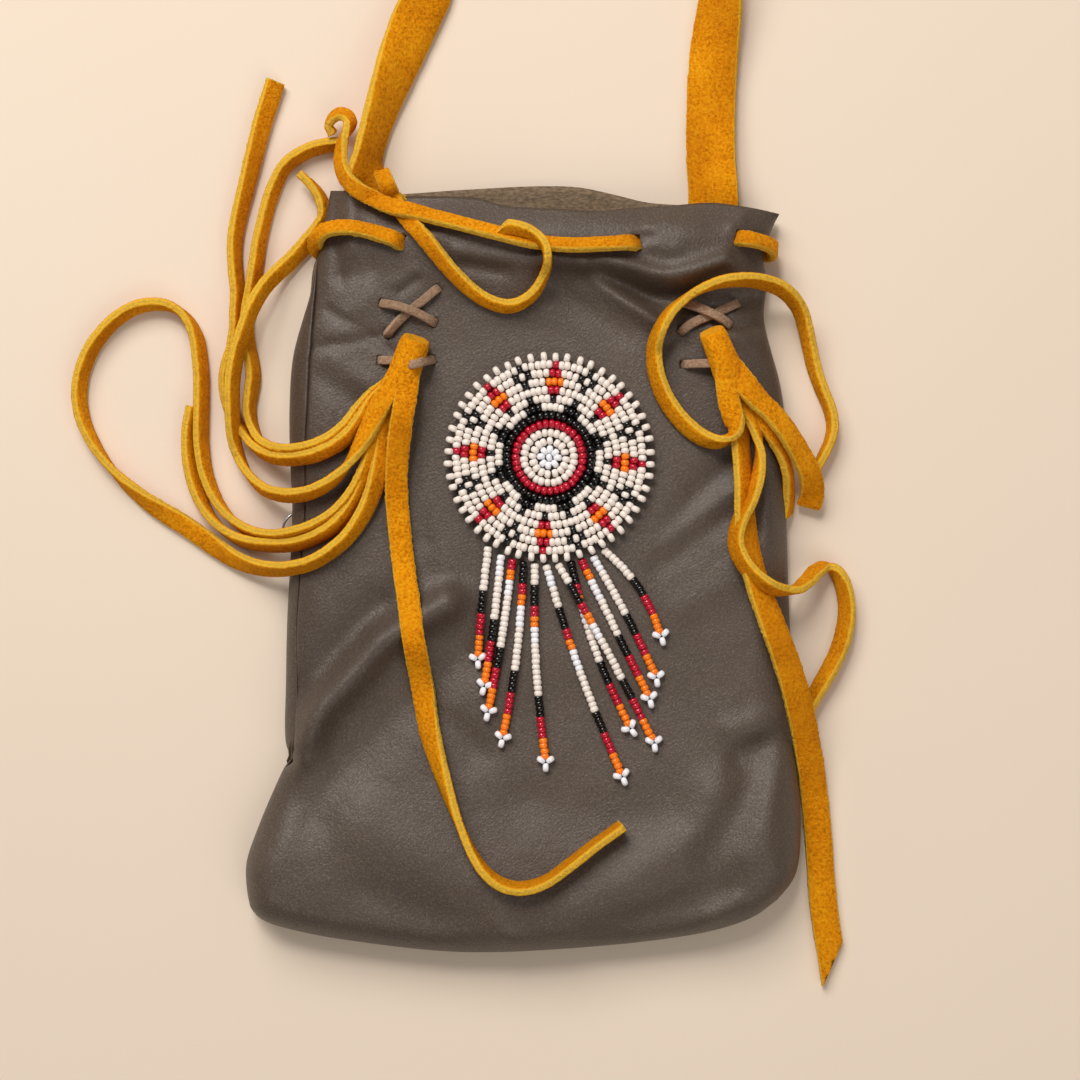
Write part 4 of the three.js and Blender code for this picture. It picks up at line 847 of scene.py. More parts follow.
    def valley(self, outer: np.ndarray, turn: np.ndarray) -> np.ndarray:
        """Dips a panel's first column, where it turns in at the seam.

        Args:
            outer: Rows of points of an outer face that start at the seam.
            turn: The seam's angle at each row.

        Returns:
            The points with the dip.
        """
        away = np.linalg.norm(outer - outer[:, :1], axis=2)
        full = np.minimum(turn / self.seam_full_turn, 1)[:, None]
        depth = self.seam_dip * full * np.exp(-((away / self.seam_round) ** 2))
        return outer - depth[..., None] * np.array([0, 0, 1.0])

    def front_surface(self) -> np.ndarray:
        """Outer face of the front panel, in rows from the mouth to the base.

        Returns:
            Rows of points, each from left to right.
        """
        graded = crowd(np.linspace(0, 1, self.columns), self.column_crowd)
        t = np.linspace(0, 1, self.rows)
        lowered = crowd(t + self.row_shift * np.sin(np.pi * t) / np.pi, self.row_crowd)
        down, across = np.meshgrid(lowered, graded, indexing="ij")
        start = self.side_roll * (1 - np.cos(self.seam_turn(down))) / self.width
        plan = self.plan(self.front_top, start + (1 - start) * across, down).reshape(-1, 2)
        inset, _ = nearest_on(plan, self.outline)
        flatter = ease(plan[:, 1], *self.base_roll_span)
        reach = self.side_roll + (self.base_roll - self.side_roll) * flatter
        angle = np.arccos(1 - np.minimum(inset / reach, 1))
        seam = self.lift(plan[:, 1]) + self.seam_height
        height = seam + self.front_gap + (self.fullness(plan) - seam) * np.sin(angle)
        outer = np.column_stack([plan, height]).reshape(self.rows, self.columns, 3)
        return self.valley(outer, self.seam_turn(lowered))

    def back_surface(self) -> np.ndarray:
        """Outer face of the back panel, from the turned seam round the left edge and under to the right.

        Returns:
            Rows of points, from the mouth to the base.
        """
        t = np.linspace(0, 1, self.rows // 2)
        wrap = 1 - np.linspace(0, 1, self.wrap_columns) ** self.wrap_crowd
        edge, inward, seam, rise = self.left_edge(t)
        turned = np.maximum(self.seam_turn(t) - self.seam_turn_gap, 0)[:, None] * wrap[None, :]
        step = self.side_roll * (1 - np.cos(turned))
        side = np.empty((len(t), len(wrap), 3))
        side[..., :2] = edge[:, None, :] + inward[:, None, :] * step[..., None]
        side[..., 2] = seam[:, None] + rise[:, None] * np.sin(turned) - self.back_gap
        graded = crowd(np.linspace(0, 1, self.back_columns)[1:], self.back_crowd)
        down, across = np.meshgrid(t, graded, indexing="ij")
        plan = self.plan(self.back_top, across, down).reshape(-1, 2)
        inset, _ = nearest_on(plan, self.outline)
        angle = np.arccos(1 - np.minimum(inset / self.under_roll, 1))
        curl = self.seam_height * (1 - np.sin(angle))
        height = self.lift(plan[:, 1]) + curl - self.back_gap * np.cos(angle)
        under_side = np.column_stack([plan, height]).reshape(len(t), -1, 3)
        return np.concatenate([self.valley(side, self.seam_turn(t)), under_side], axis=1)

    def panel(self, name: str, outer: np.ndarray, materials: Sequence[Material], facing: float) -> Piece:
        """Closed sheet of leather from its outer face.

        Args:
            name: Name of the piece.
            outer: Rows of points of the outer face.
            materials: Grain side and flesh side.
            facing: 1 where the outer face's rows and columns turn to +Z, and -1 where they turn from it.

        Returns:
            The panel.
        """
        rows, columns, _ = outer.shape
        normal = facing * np.cross(np.gradient(outer, axis=0), np.gradient(outer, axis=1))
        normal /= np.maximum(np.linalg.norm(normal, axis=2, keepdims=True), TINY)
        # The patch is pinched at its edges and corners, so these take the directions just inside them.
        normal[:, [0, -1]] = normal[:, [2, -3]]
        normal[[0, -1]] = normal[[2, -3]]
        n = self.corner_steps
        normal[:n, :n], normal[:n, -n:] = normal[n, n], normal[n, -n - 1]
        normal[-n:, :n], normal[-n:, -n:] = normal[-n - 1, n], normal[-n - 1, -n - 1]
        inner = outer - normal * self.leather
        points = np.concatenate([outer.reshape(-1, 3), inner.reshape(-1, 3)])
        count = rows * columns
        number = np.arange(count).reshape(rows, columns)
        a, b, c, d = number[:-1, :-1], number[1:, :-1], number[1:, 1:], number[:-1, 1:]
        face = np.stack([a, b, c, d], axis=-1).reshape(-1, 4)
        border = np.concatenate([number[:, 0], number[-1, 1:], number[-2::-1, -1], number[0, -2::-1]])
        rim = np.stack([border[:-1], border[:-1] + count, border[1:] + count, border[1:]], axis=-1)
        if facing < 0:
            faces = np.concatenate([face[:, ::-1], face + count, rim[:, ::-1]])
        else:
            faces = np.concatenate([face, face[:, ::-1] + count, rim])
        piece = mesh_object(name, points, faces.tolist(), materials)
        side = np.ones(len(faces), np.int32)
        side[:len(face)] = 0
        piece.data.polygons.foreach_set("material_index", side)
        return piece

    def build(self, grain: Material, flesh: Material) -> tuple[Piece, Piece]:
        """Makes the front panel and the back panel, with a grain side and a flesh side."""
        front = self.panel("front_leather", self.front_surface(), (grain, flesh), 1.0)
        return front, self.panel("back_leather", self.back_surface(), (grain, flesh), -1.0)

    def cut(self, front: Piece, slits: Iterable[Slit], flesh: Material) -> None:
        """Cuts the slits that the laces go through.

        Args:
            front: Front panel.
            slits: Each slit's place, the way its lace runs in degrees, and its size along and across it.
            flesh: Material of the cut walls.
        """
        points, faces = [], []
        for x, y, way, long, wide in slits:
            cos, sin = math.cos(math.radians(way)), math.sin(math.radians(way))
            faces += [tuple(len(points) + k for k in face) for face in BOX_FACES]
            for up in self.knife:
                for a, b in ((-1, -1), (1, -1), (1, 1), (-1, 1)):
                    ahead, aside = a * long / 2, b * wide / 2
                    points.append((x + ahead * cos - aside * sin, y + ahead * sin + aside * cos, up))
        knife = mesh_object("slit_knife", np.array(points), faces, (flesh,))
        cutter = front.modifiers.new("slits", "BOOLEAN")
        cutter.operation = "DIFFERENCE"
        cutter.solver = "EXACT"
        cutter.material_mode = "TRANSFER"
        cutter.object = knife
        plain_mesh(front)
        bpy.data.objects.remove(knife)

    def seam_line(self) -> np.ndarray:
        """Points down the turned seam's valley.

        Returns:
            The points, from the mouth down.
        """
        t = np.linspace(*self.stitched, self.stitch_points)
        edge, inward, seam, rise = self.left_edge(t)
        turn = self.seam_turn(t)
        plan = edge + inward * (self.side_roll * (1 - np.cos(turn)))[:, None]
        return np.column_stack([plan, seam + rise * np.sin(turn) - self.stitch_depth])


class Ground:
    """What the laces lie on: the leather, and the table beside it."""

    ABOVE = 100.0
    SKIN = 0.02
    DOWN = Vector((0, 0, -1))

    def __init__(self, pieces: Iterable[Piece]) -> None:
        """Reads what can lie under a lace.

        Args:
            pieces: The leather panels.
        """
        points, faces = [], []
        for piece in pieces:
            shift = len(points)
            points += [v.co / MM for v in piece.data.vertices]
            faces += [tuple(i + shift for i in p.vertices) for p in piece.data.polygons]
        self.tree = BVHTree.FromPolygons(points, faces)

    def at(self, x: float, y: float, reach: float = 0.0) -> Span:
        """Heights of the outer and inner faces near a place.

        Args:
            x: Place across.
            y: Place along.
            reach: How far round the place to look.

        Returns:
            The highest outer face and the lowest inner face of the first layer.
        """
        steps = [(0, 0), (reach, 0), (-reach, 0), (0, reach), (0, -reach)] if reach else [(0, 0)]
        outer, inner = [], []
        for dx, dy in steps:
            first = self.tree.ray_cast(Vector((x + dx, y + dy, self.ABOVE)), self.DOWN)[0]
            top = first.z if first else 0.0
            below = first and self.tree.ray_cast(first + self.DOWN * self.SKIN, self.DOWN)[0]
            outer.append(top)
            inner.append(below.z if below else top)
        return max(outer), min(inner)


# Laces.

Lie = Callable[[Span, float], float]
Stop = tuple[float, float, Lie | float, float]


def on(lift: float) -> Lie:
    """Lies on what is beneath, or a stated lift above it."""
    return lambda ground, half: ground[0] + CLEARANCE + half + lift


def inside(ground: Span, half: float) -> float:
    """Lies just inside the front panel."""
    return ground[1] - CLEARANCE - half


def under(ground: Span, half: float) -> float:
    """Lies on the table under the pouch."""
    return TABLE_GAP + half


def at(height: float) -> Lie:
    """Middle at a stated height."""
    return lambda ground, half: height


@dataclass
class Lace:
    """A flat strip of suede along stops: place in plan, how it lies there, and its turn in degrees.

    A plain number for how it lies is its lift above what is beneath it. A cut_length above 0 slants its far
    end over that length, toward cut_side.
    """

    STEEP = 0.3
    SWAY_SEED = 5
    REST_SHARE = 0.8
    CUT_SHARE = 0.4

    name: str
    stops: Sequence[Stop]
    width: float
    thickness: float
    step: float = 0.42
    corner: float = 0.35
    fray: float = 0.3
    fray_mm: float = 0.62
    face_fray: float = 0.35
    sway: float = 0.1
    sway_mm: float = 6.0
    cut_length: float = 0.0
    cut_side: float = 1.0
    seed: float = 0.0
    ends: Span = (1.0, 1.0)
    line: np.ndarray = field(init=False)

    def frames(self, turns: np.ndarray) -> tuple[np.ndarray, np.ndarray]:
        """Directions of the lace's width and thickness along its line.

        Args:
            turns: Turn about the lace's length at each point, in degrees.

        Returns:
            Unit directions across the width and through the thickness.
        """
        tangent = np.gradient(self.line, axis=0)
        tangent /= np.maximum(np.linalg.norm(tangent, axis=1, keepdims=True), TINY)
        across, through = np.empty_like(tangent), np.empty_like(tangent)
        side = None
        for i, way in enumerate(tangent):
            level = np.cross(way, (0, 0, 1))
            if side is not None and np.linalg.norm(level) < self.STEEP:
                level = side - way * side.dot(way)
            level /= max(np.linalg.norm(level), TINY)
            if side is not None and level.dot(side) < 0:
                level = -level
            side = level
            turn = math.radians(turns[i])
            across[i] = level * math.cos(turn) + np.cross(level, way) * math.sin(turn)
            through[i] = np.cross(way, across[i])
        return across, through

    def route(self, ground: Ground) -> np.ndarray:
        """Works out the heights of the stops.

        Args:
            ground: What the lace lies on.

        Returns:
            The stops' middles, one a row.
        """
        places = []
        for x, y, lie, turn in self.stops:
            cos, sin = abs(math.cos(math.radians(turn))), abs(math.sin(math.radians(turn)))
            half = (self.width * sin + self.thickness * cos) / 2
            reach = (self.width * cos + self.thickness * sin) / 2
            height = lie if callable(lie) else on(lie)
            places.append((x, y, height(ground.at(x, y, self.REST_SHARE * reach), half)))
        return np.array(places)

    def section(self) -> tuple[np.ndarray, np.ndarray]:
        """Points round the lace's section and their cut-edge marks.

        Returns:
            Each point's place across and through, and its mark from 0 on a face to 1 on an edge.
        """
        w, t, b = self.width / 2, self.thickness / 2, self.corner
        top = [(-w + b, t), (-w / 3, t), (w / 3, t), (w - b, t)]
        right = [(w, t - b), (w, 0), (w, b - t)]
        points = top + right + [(-x, -y) for x, y in top + right]
        return np.array(points), np.array([0, 0, 0, 0, 0.5, 1, 0.5] * 2, float)

    def build(self, ground: Ground, material: Material) -> Piece:
        """Makes the lace's mesh.

        Args:
            ground: What it lies on.
            material: Its finish.

        Returns:
            The lace.
        """
        self.line, knots = smooth_line(self.route(ground), self.step)
        turns = np.interp(knots, range(len(self.stops)), [stop[3] for stop in self.stops])
        across, through = self.frames(turns)
        section, marks = self.section()
        count, sides = len(self.line), len(section)
        wide, thick = (np.tile(section[:, k], (count, 1)) for k in range(2))
        if self.cut_length:
            left = np.arange(count)[::-1] * self.step / self.cut_length
            limit = (np.minimum(left, 1) * 2 - 1)[:, None] * self.width / 2
            wide = self.cut_side * np.minimum(self.cut_side * wide, limit)
        points = self.line[:, None] + across[:, None] * wide[..., None] + through[:, None] * thick[..., None]
        rough, broad = (wobble(points.reshape(-1, 3), size, seed).reshape(count, sides) for size, seed in (
            (self.fray_mm, self.seed), (self.sway_mm, self.seed + self.SWAY_SEED)))
        edge = (marks > 0).astype(float)
        push = self.fray * np.where(edge > 0, 1.0, self.face_fray) * rough + self.sway * broad
        outward = across[:, None] * np.sign(wide)[..., None] * edge[:, None]
        outward = outward + through[:, None] * np.sign(thick)[..., None] * (1 - edge)[:, None]
        points = points + outward * push[..., None]
        faces = tube_faces(count, sides, turned=True)
        piece = mesh_object(self.name, points.reshape(-1, 3), faces, (material,))
        mark = np.tile(marks, (count, 1))
        for row, end in zip((0, -1), self.ends):
            mark[row] = np.maximum(mark[row], end)
        paint(piece, "cut_edge", mark.reshape(-1))
        return piece

    def declare(self) -> None:
        whole = len(self.line) - round(self.cut_length * self.CUT_SHARE / self.step)


DRAWSTRING: tuple[Stop, ...] = (
    (-48.3, 110.4, at(4.4), -80), (-49.2, 112.3, at(5.2), -92), (-48.4, 113.9, at(6.2), -114),
    (-46.4, 114.9, at(7.2), -131), (-44.4, 114.2, at(8.2), -136), (-43.6, 112.3, at(9), -122),
    (-44.3, 110.2, at(9.6), -92), (-45.4, 107.4, at(9.8), -68), (-45.8, 104.6, at(10), -54),
    (-45.7, 101.8, at(10.6), -50), (-45, 99.2, at(11.6), -46), (-43.7, 97, at(12.8), -36),
    (-41.2, 94.7, at(14), -20), (-37.2, 92.5, 1.8, 0), (-32.6, 90.3, 2.6, 14), (-27.6, 89.1, 2.2, 28),
    (-23, 87.8, 0.8, 38), (-16.5, 86, 0.2, 43), (-7, 83.5, 0.1, 44), (2.5, 81.2, 0.1, 44),
    (12, 80.2, 0.1, 43), (20, 80.6, 0.1, 40), (26, 81, 0.1, 34), (29.8, 81.5, inside, 14),
    (41, 82.4, inside, 0), (51.6, 83, inside, 10), (56, 82.3, 0.3, 26), (60.4, 81.6, at(12.8), 32),
    (62.6, 80.9, at(9.8), 28), (63.2, 80.4, at(6), 20), (62.4, 80.2, at(2.6), 10), (58.5, 80.4, under, 0),
    (44.5, 80.5, under, 0), (24.5, 80.5, under, 0), (4, 80.5, under, 0), (-16, 80.5, under, 0),
    (-33.5, 80, under, 0), (-46.5, 79.4, under, 0), (-50.4, 79.8, at(2.2), 0), (-52, 80.8, at(4.8), 5),
    (-52.3, 82.2, at(8.2), 14), (-51.2, 83.7, at(11.2), 24), (-49.2, 84.8, at(13.2), 30),
    (-46.6, 85.2, 0.3, 33), (-43, 85.1, 0, 34), (-38.5, 84.3, 0.1, 34), (-35, 83.3, 0.1, 30),
    (-32.2, 82.3, 0, 22), (-28.8, 81.2, inside, 30), (-25, 82.4, inside, 80), (-24.6, 87, inside, 90),
    (-28, 91.2, inside, 70), (-32, 93, at(9.6), 25), (-33.8, 95.2, at(10), 5), (-34.9, 97.6, at(10.8), 0),
    (-35.2, 98.9, at(12.6), 0), (-34.7, 97.8, at(14.5), 0), (-33.8, 95.8, at(15.2), -6),
    (-32.6, 93.2, 0.6, -8), (-31, 90.4, 0.1, -8), (-28.6, 87.2, 0.3, -16), (-24.4, 82.2, 0.3, -32),
    (-18.5, 75, 0, -44), (-13.5, 70, 0, -50), (-9, 67, 0, -56), (-4, 65.6, 0, -62), (-0.5, 66.4, 0, -68),
    (3, 69.2, 0, -76), (5.4, 73.6, 0.2, -84), (6, 77.2, 1.4, -92), (5.3, 80, 2.4, -100),
    (3.2, 82.3, 2.8, -108), (0.2, 83.8, 2.8, -116), (-3.4, 84.5, 2.4, -126), (-7.2, 84.6, 1.8, -136),
)

LEFT_STRANDS: tuple[tuple[Stop, ...], ...] = (
    (
        (-32.5, 45.5, 2, 10), (-36.6, 41.6, 1.8, 25), (-40, 37.2, 1.2, 50), (-43, 33.8, 0.6, 60),
        (-46.8, 31, 0.4, 62), (-51, 29, 0.4, 64), (-55.5, 28, at(12.8), 64), (-60, 27.9, at(10), 66),
        (-64.6, 28.9, at(6.6), 72), (-68.4, 31.2, at(4.2), 84), (-71, 34.6, 0, 96), (-73.4, 38.6, 0, 106),
        (-74.9, 43, 0, 112), (-75.5, 47.6, 0, 115), (-74.9, 51.8, 0, 115), (-73.6, 56.2, 0, 113),
        (-73, 60.6, 0, 112), (-72.8, 65.5, 0, 110), (-72.6, 70.5, 0, 110), (-73.1, 76, 0, 110),
        (-73.3, 82.5, 0, 112), (-72.5, 88.5, 0, 116), (-70.7, 96, 0, 122), (-68.5, 105, 0, 130),
        (-66, 114.5, 0, 138), (-63, 124, 0, 145),
    ),
    (
        (-32.6, 46.2, 1, 10), (-36.8, 43, 0.8, 25), (-40.6, 39.4, 0.6, 50), (-43.6, 36, 0.4, 60),
        (-47.2, 33, 0.4, 62), (-51.4, 30.9, 0.4, 64), (-56, 29.9, at(12.8), 64),
        (-60.2, 29.8, at(10.1), 66), (-64, 30.8, at(7), 74), (-67, 33, at(4.6), 86), (-68.8, 36.4, 0, 98),
        (-69.6, 40.6, 0, 106), (-69.1, 45, 0, 110), (-68.6, 49, 0, 112), (-69, 53, 0, 112),
        (-69.9, 57, 0, 112), (-70.3, 61, 0, 110), (-70, 65.5, 0, 110), (-69, 71, 0, 110),
        (-68, 77, 0, 110), (-67, 83.5, 0, 110), (-65.5, 90, 0, 110), (-63.7, 96, 0, 110),
        (-60.7, 102, 0, 110), (-56.2, 105.6, 0, 108), (-51.4, 107.4, 0, 108), (-47, 108, 0, 106),
    ),
    (
        (-31.6, 46.6, 4, -5), (-34.4, 42.2, 4.6, -12), (-36.8, 37.8, 4.4, -24), (-39.2, 33, 3.6, -44),
        (-42.2, 28, 2.6, -74), (-46, 23.4, 1.6, -102), (-50.8, 20.2, 0.8, -114),
        (-56.4, 18.7, at(12.6), -116), (-61.4, 18.9, at(9.2), -114), (-66, 20.6, at(6), -108),
        (-69.6, 24, at(4.2), -96), (-72, 28.4, 0.8, -84), (-73.2, 33.5, 2.4, -74), (-73.3, 38.5, 4.4, -68),
        (-73.3, 43.5, 5.2, -66), (-73.1, 48.5, 5.4, -66), (-72, 54.5, 5.6, -66), (-70.3, 60, 5.8, -66),
        (-68.4, 65.4, 5.6, -66), (-65.6, 70.8, 4.4, -66), (-62.2, 75.2, 1.6, -62), (-58.6, 78.8, 0.2, -60),
        (-55.2, 82.6, under, -58), (-52.2, 86, under, -50), (-50.3, 89.4, under, -56),
        (-50.8, 92.8, under, -72), (-53, 96.8, 0, -80), (-56.7, 100.6, 0, -84),
    ),
    (
        (-31.8, 45.6, 2.6, 10), (-34.6, 38.4, 2.6, 25), (-36.6, 31.4, 2, 40), (-38.6, 25.4, 1.4, 50),
        (-41.6, 19.8, 0.8, 58), (-45.2, 15.4, 0.4, 62), (-49.4, 12.2, 0.2, 64),
        (-53.6, 10.2, at(13.8), 64), (-58, 9, at(11.4), 64), (-62.6, 8.4, at(8.2), 64),
        (-67.4, 9, at(5.4), 69), (-71.8, 11, 0.4, 79), (-75.8, 14.6, 0, 91), (-78.8, 19.4, 0, 102),
        (-80.8, 25, 0, 110), (-81.7, 31, 0, 115), (-81.9, 37, 0, 116), (-81.8, 43, 0, 116),
        (-81.8, 49, 0, 115), (-82.4, 55.6, 0, 115), (-82.7, 58, 0, 112),
    ),
    (
        (-32, 45.6, 0.8, 10), (-35, 37.6, 0.8, 25), (-37.4, 29.2, 0.8, 42), (-39.4, 22.2, 0.6, 54),
        (-42.4, 16.4, 0.4, 60), (-46.2, 11.8, 0.2, 63), (-50.6, 8.8, at(14.4), 64), (-55.2, 7, at(12), 64),
        (-60, 6.2, at(9.2), 64), (-65, 6.2, at(6.4), 65), (-70.2, 7, at(4.3), 70), (-74.8, 9, 0, 80),
        (-79, 12.8, 0, 94), (-82, 17.8, 0, 106), (-83.9, 23.4, 0, 112), (-84.8, 29.4, 0, 114),
        (-84.8, 35.4, 0, 114), (-83.8, 41.4, 0, 112),
    ),
    (
        (-31, 46, 1.8, 10), (-33, 40, 2, 22), (-34.2, 33.6, 1.8, 34), (-35.4, 26.6, 1.4, 42),
        (-37, 20.4, 0.8, 50), (-39.6, 14.2, 0.4, 56), (-43.4, 8.6, 0.2, 62), (-48.2, 4.4, 0.2, 64),
        (-53.4, 1.6, at(13.6), 64), (-58.6, 0.4, at(10.8), 62), (-63.6, 0.2, at(7.6), 58),
        (-68.8, 1, at(4.8), 52), (-74, 3, 0.3, 42), (-78.6, 6, 0, 30), (-83, 9.2, 0, 22),
        (-87.6, 12.2, 0, 24), (-92.4, 15.2, 0, 36), (-97, 18.4, 0, 54), (-101.4, 22.2, 0, 72),
        (-105.6, 26.8, 0, 88), (-109, 31.8, 0, 100), (-111.6, 37.4, 0, 108), (-112.8, 43.4, 0, 112),
        (-112.2, 49.6, 0, 112), (-109.9, 55.6, 0, 112), (-106.6, 60.4, 0, 110), (-102.6, 64.2, 0, 108),
        (-98.2, 66.6, 0, 106), (-94, 67.4, 0, 104), (-90.2, 67, 0, 98), (-87, 65.4, 0, 90),
        (-84.6, 62.6, 0, 80), (-83.1, 59.2, 0, 70), (-82.4, 55.6, 0, 65),
    ),
    (
        (-28.2, 50, 3.4, 2), (-28.6, 46, 4.1, 4), (-29.2, 41.6, 4.9, 8), (-30, 37, 5.1, 12),
        (-30.6, 33, 4.4, 14), (-31.1, 28.5, 3.2, 15), (-31.5, 23, 1.6, 15), (-31.5, 17.5, 0.4, 14),
        (-31, 12, 0, 12), (-30, 2.5, 0, 10), (-28.5, -7, 0, 6), (-27, -17.5, 0.2, 0), (-25, -30, 0.2, -12),
        (-23, -41, 0.2, -36), (-20, -51, 0.2, -62), (-16.5, -61, 0.2, -82), (-12.6, -69.6, 0, -94),
        (-9, -74.6, 0.2, -99), (-4.8, -77.6, 0.2, -102), (0.2, -78.3, 0.3, -102), (5.8, -76.6, 0.2, -101),
        (12.2, -72.2, 0.2, -100), (18.2, -67.6, 0.2, -99), (24.6, -63.2, 0.3, -98),
    ),
)

RIGHT_STRANDS: tuple[tuple[Stop, ...], ...] = (
    (
        (50.4, 51, 5.4, 0), (50.2, 48.4, 5.7, 0), (50.3, 45.6, 5.8, -3), (50.9, 41.8, 5.4, -10),
        (52, 38, 4.6, -28), (52.3, 34.7, 3.6, -62), (50.9, 32.8, 2.8, -95), (48.2, 32, 1.6, -110),
        (45, 32.8, 0.6, -118), (41.2, 35.4, 0, -122), (37.4, 39.6, 0, -122), (34.8, 44, 0, -120),
        (33, 49.5, 0, -118), (32.6, 54.5, 0, -115), (33.8, 59.5, 1, -110), (36.3, 63.8, 2, -104),
        (40.2, 67.4, 2.2, -96), (45, 70, 2.2, -88), (49.5, 71.4, 2.2, -80), (54.5, 72, 2, -74),
        (59.4, 71.8, at(14.4), -70), (64, 70.6, at(11.6), -68), (67.6, 68.2, at(8.8), -68),
        (70.1, 64.8, at(6.4), -69), (71.5, 60.6, at(4.8), -70), (72.7, 55.6, at(3.6), -72),
        (74, 50.6, 0, -75), (75.8, 45.4, 0, -78), (77.7, 40.8, 0, -80), (78.5, 36.6, 0, -82),
        (77.7, 32.6, 0, -84), (75.9, 28.6, 0, -86), (74, 25.2, 0, -86),
    ),
    (
        (51.0, 51.2, 3.2, 0), (53.3, 47.8, 5.2, 2), (56, 44.5, 5.2, 22), (58.8, 41.6, at(18.4), 36),
        (61.8, 38.8, at(17.6), 38), (64.6, 35.6, at(16.4), 38), (67.2, 32.1, at(14.4), 36),
        (69.6, 28.4, at(12), 32), (71.7, 24.6, at(9.6), 24), (72.8, 21.2, at(6.8), 14),
        (73, 18.6, at(4.6), 6), (72.4, 16.2, at(2.8), 0),
    ),
    (
        (51.6, 49.6, 1.6, 0), (54.2, 44.8, 2, 2), (57, 41.4, at(15.2), 4), (59.4, 38.6, at(15.2), 8),
        (61.2, 36, at(14.9), 14), (62.8, 33.3, at(13.6), 35), (64.2, 30.6, at(11.9), 56),
        (65.5, 27.6, at(10.4), 66), (66.5, 24.3, at(8.6), 68), (67, 20.8, at(6.2), 68),
        (67.1, 17.3, at(4.4), 68), (66.7, 13.6, at(3.1), 68),
    ),
    (
        (51.2, 49.6, 1.2, 0), (53.4, 44.4, 1.8, 5), (55.8, 40.8, 1.6, 20), (57.2, 37.8, 1.2, 40),
        (58, 34.6, 0.8, 65), (58.6, 31.4, 0.6, 85), (58.9, 28, 1, 98), (58.2, 23, 1.8, 108),
        (56.3, 17.5, 2.4, 114), (53.8, 12.5, 2.6, 118), (52.7, 8, 2.6, 120), (53.4, 4, 2.6, 122),
        (56, -0.2, 3, 124), (60, -3.5, 3.2, 122), (64.4, -5.1, at(14.6), 108), (68.3, -4.9, at(11.4), 84),
        (71.4, -2.9, at(8), 64), (74.2, -0.3, at(5.2), 60), (76.9, 0.9, 0, 84), (79.4, -0.6, 0, 110),
        (81.2, -4, 0, 121), (82.1, -9, 0, 127), (81.7, -14.5, 0, 129), (80.2, -20, 0, 128),
        (78, -24.8, 0, 124), (75.3, -29.6, 0, 120), (72.8, -34, 0, 116), (71.4, -37, 0, 112),
    ),
    (
        (51.2, 49.6, 0.4, 0), (51.9, 44, 0.4, 10), (52.8, 40, 0.2, 28), (53.5, 36, 0, 46),
        (54, 32.5, 0, 56), (54.5, 26.5, 0, 58), (54.8, 21, 0, 56), (55, 15, 0.2, 52), (55.5, 9, 0.2, 46),
        (56.5, 2.5, 0.2, 42), (58.4, -4, 0.2, 38), (60.8, -10.5, 0.3, 33), (63.3, -17, 1, 27),
        (65.7, -23.2, at(13.8), 20), (67.7, -29, at(12.2), 16), (69.4, -35, at(9.8), 14),
        (71.2, -42, at(6.8), 12), (72.8, -50, at(4.2), 10), (74, -58.5, at(2.2), 8), (75, -68, 0, 6),
        (75.7, -78, 0, 5), (76.5, -87, 0, 4), (77.9, -96, 0, 4), (79.4, -105.5, 0, 4),
    ),
)

STRAP_LEFT: tuple[Stop, ...] = (
    (-40, 74, at(5.6), 0), (-40, 81, at(5.6), 0), (-39.6, 88, at(5.4), 0), (-39.2, 94, at(5.2), -6),
    (-39.5, 99, at(6.6), -44), (-39.3, 104, at(6.8), -66), (-37.8, 110, at(6.6), -66),
    (-36, 116, at(6.4), -61), (-33.8, 122.5, 0.2, -52), (-31.3, 129.5, 0, -40), (-28.1, 137.5, 0, -28),
    (-24.7, 145, 0, -26), (-20, 158, 0, -45), (-16, 172, 0, -75), (-13.6, 186, 0, -90),
    (-12.6, 200, 0, -90), (-12.5, 213, 0, -90),
)

STRAP_RIGHT: tuple[Stop, ...] = (
    (48, 74, at(5.6), 0), (48, 81, at(5.6), 0), (48, 88, at(5.6), 4), (48, 96, at(5.4), 12),
    (47.5, 104, at(4.4), 15), (47.5, 112, at(3.4), 15), (47.8, 122, 0, 14), (48.5, 132, 0, 18),
    (50, 144.5, 0, 36), (50.8, 153, 0, 56), (50.2, 161, 0, 80), (46.5, 168.2, 0, 90), (39.4, 172.6, 0, 90),
)


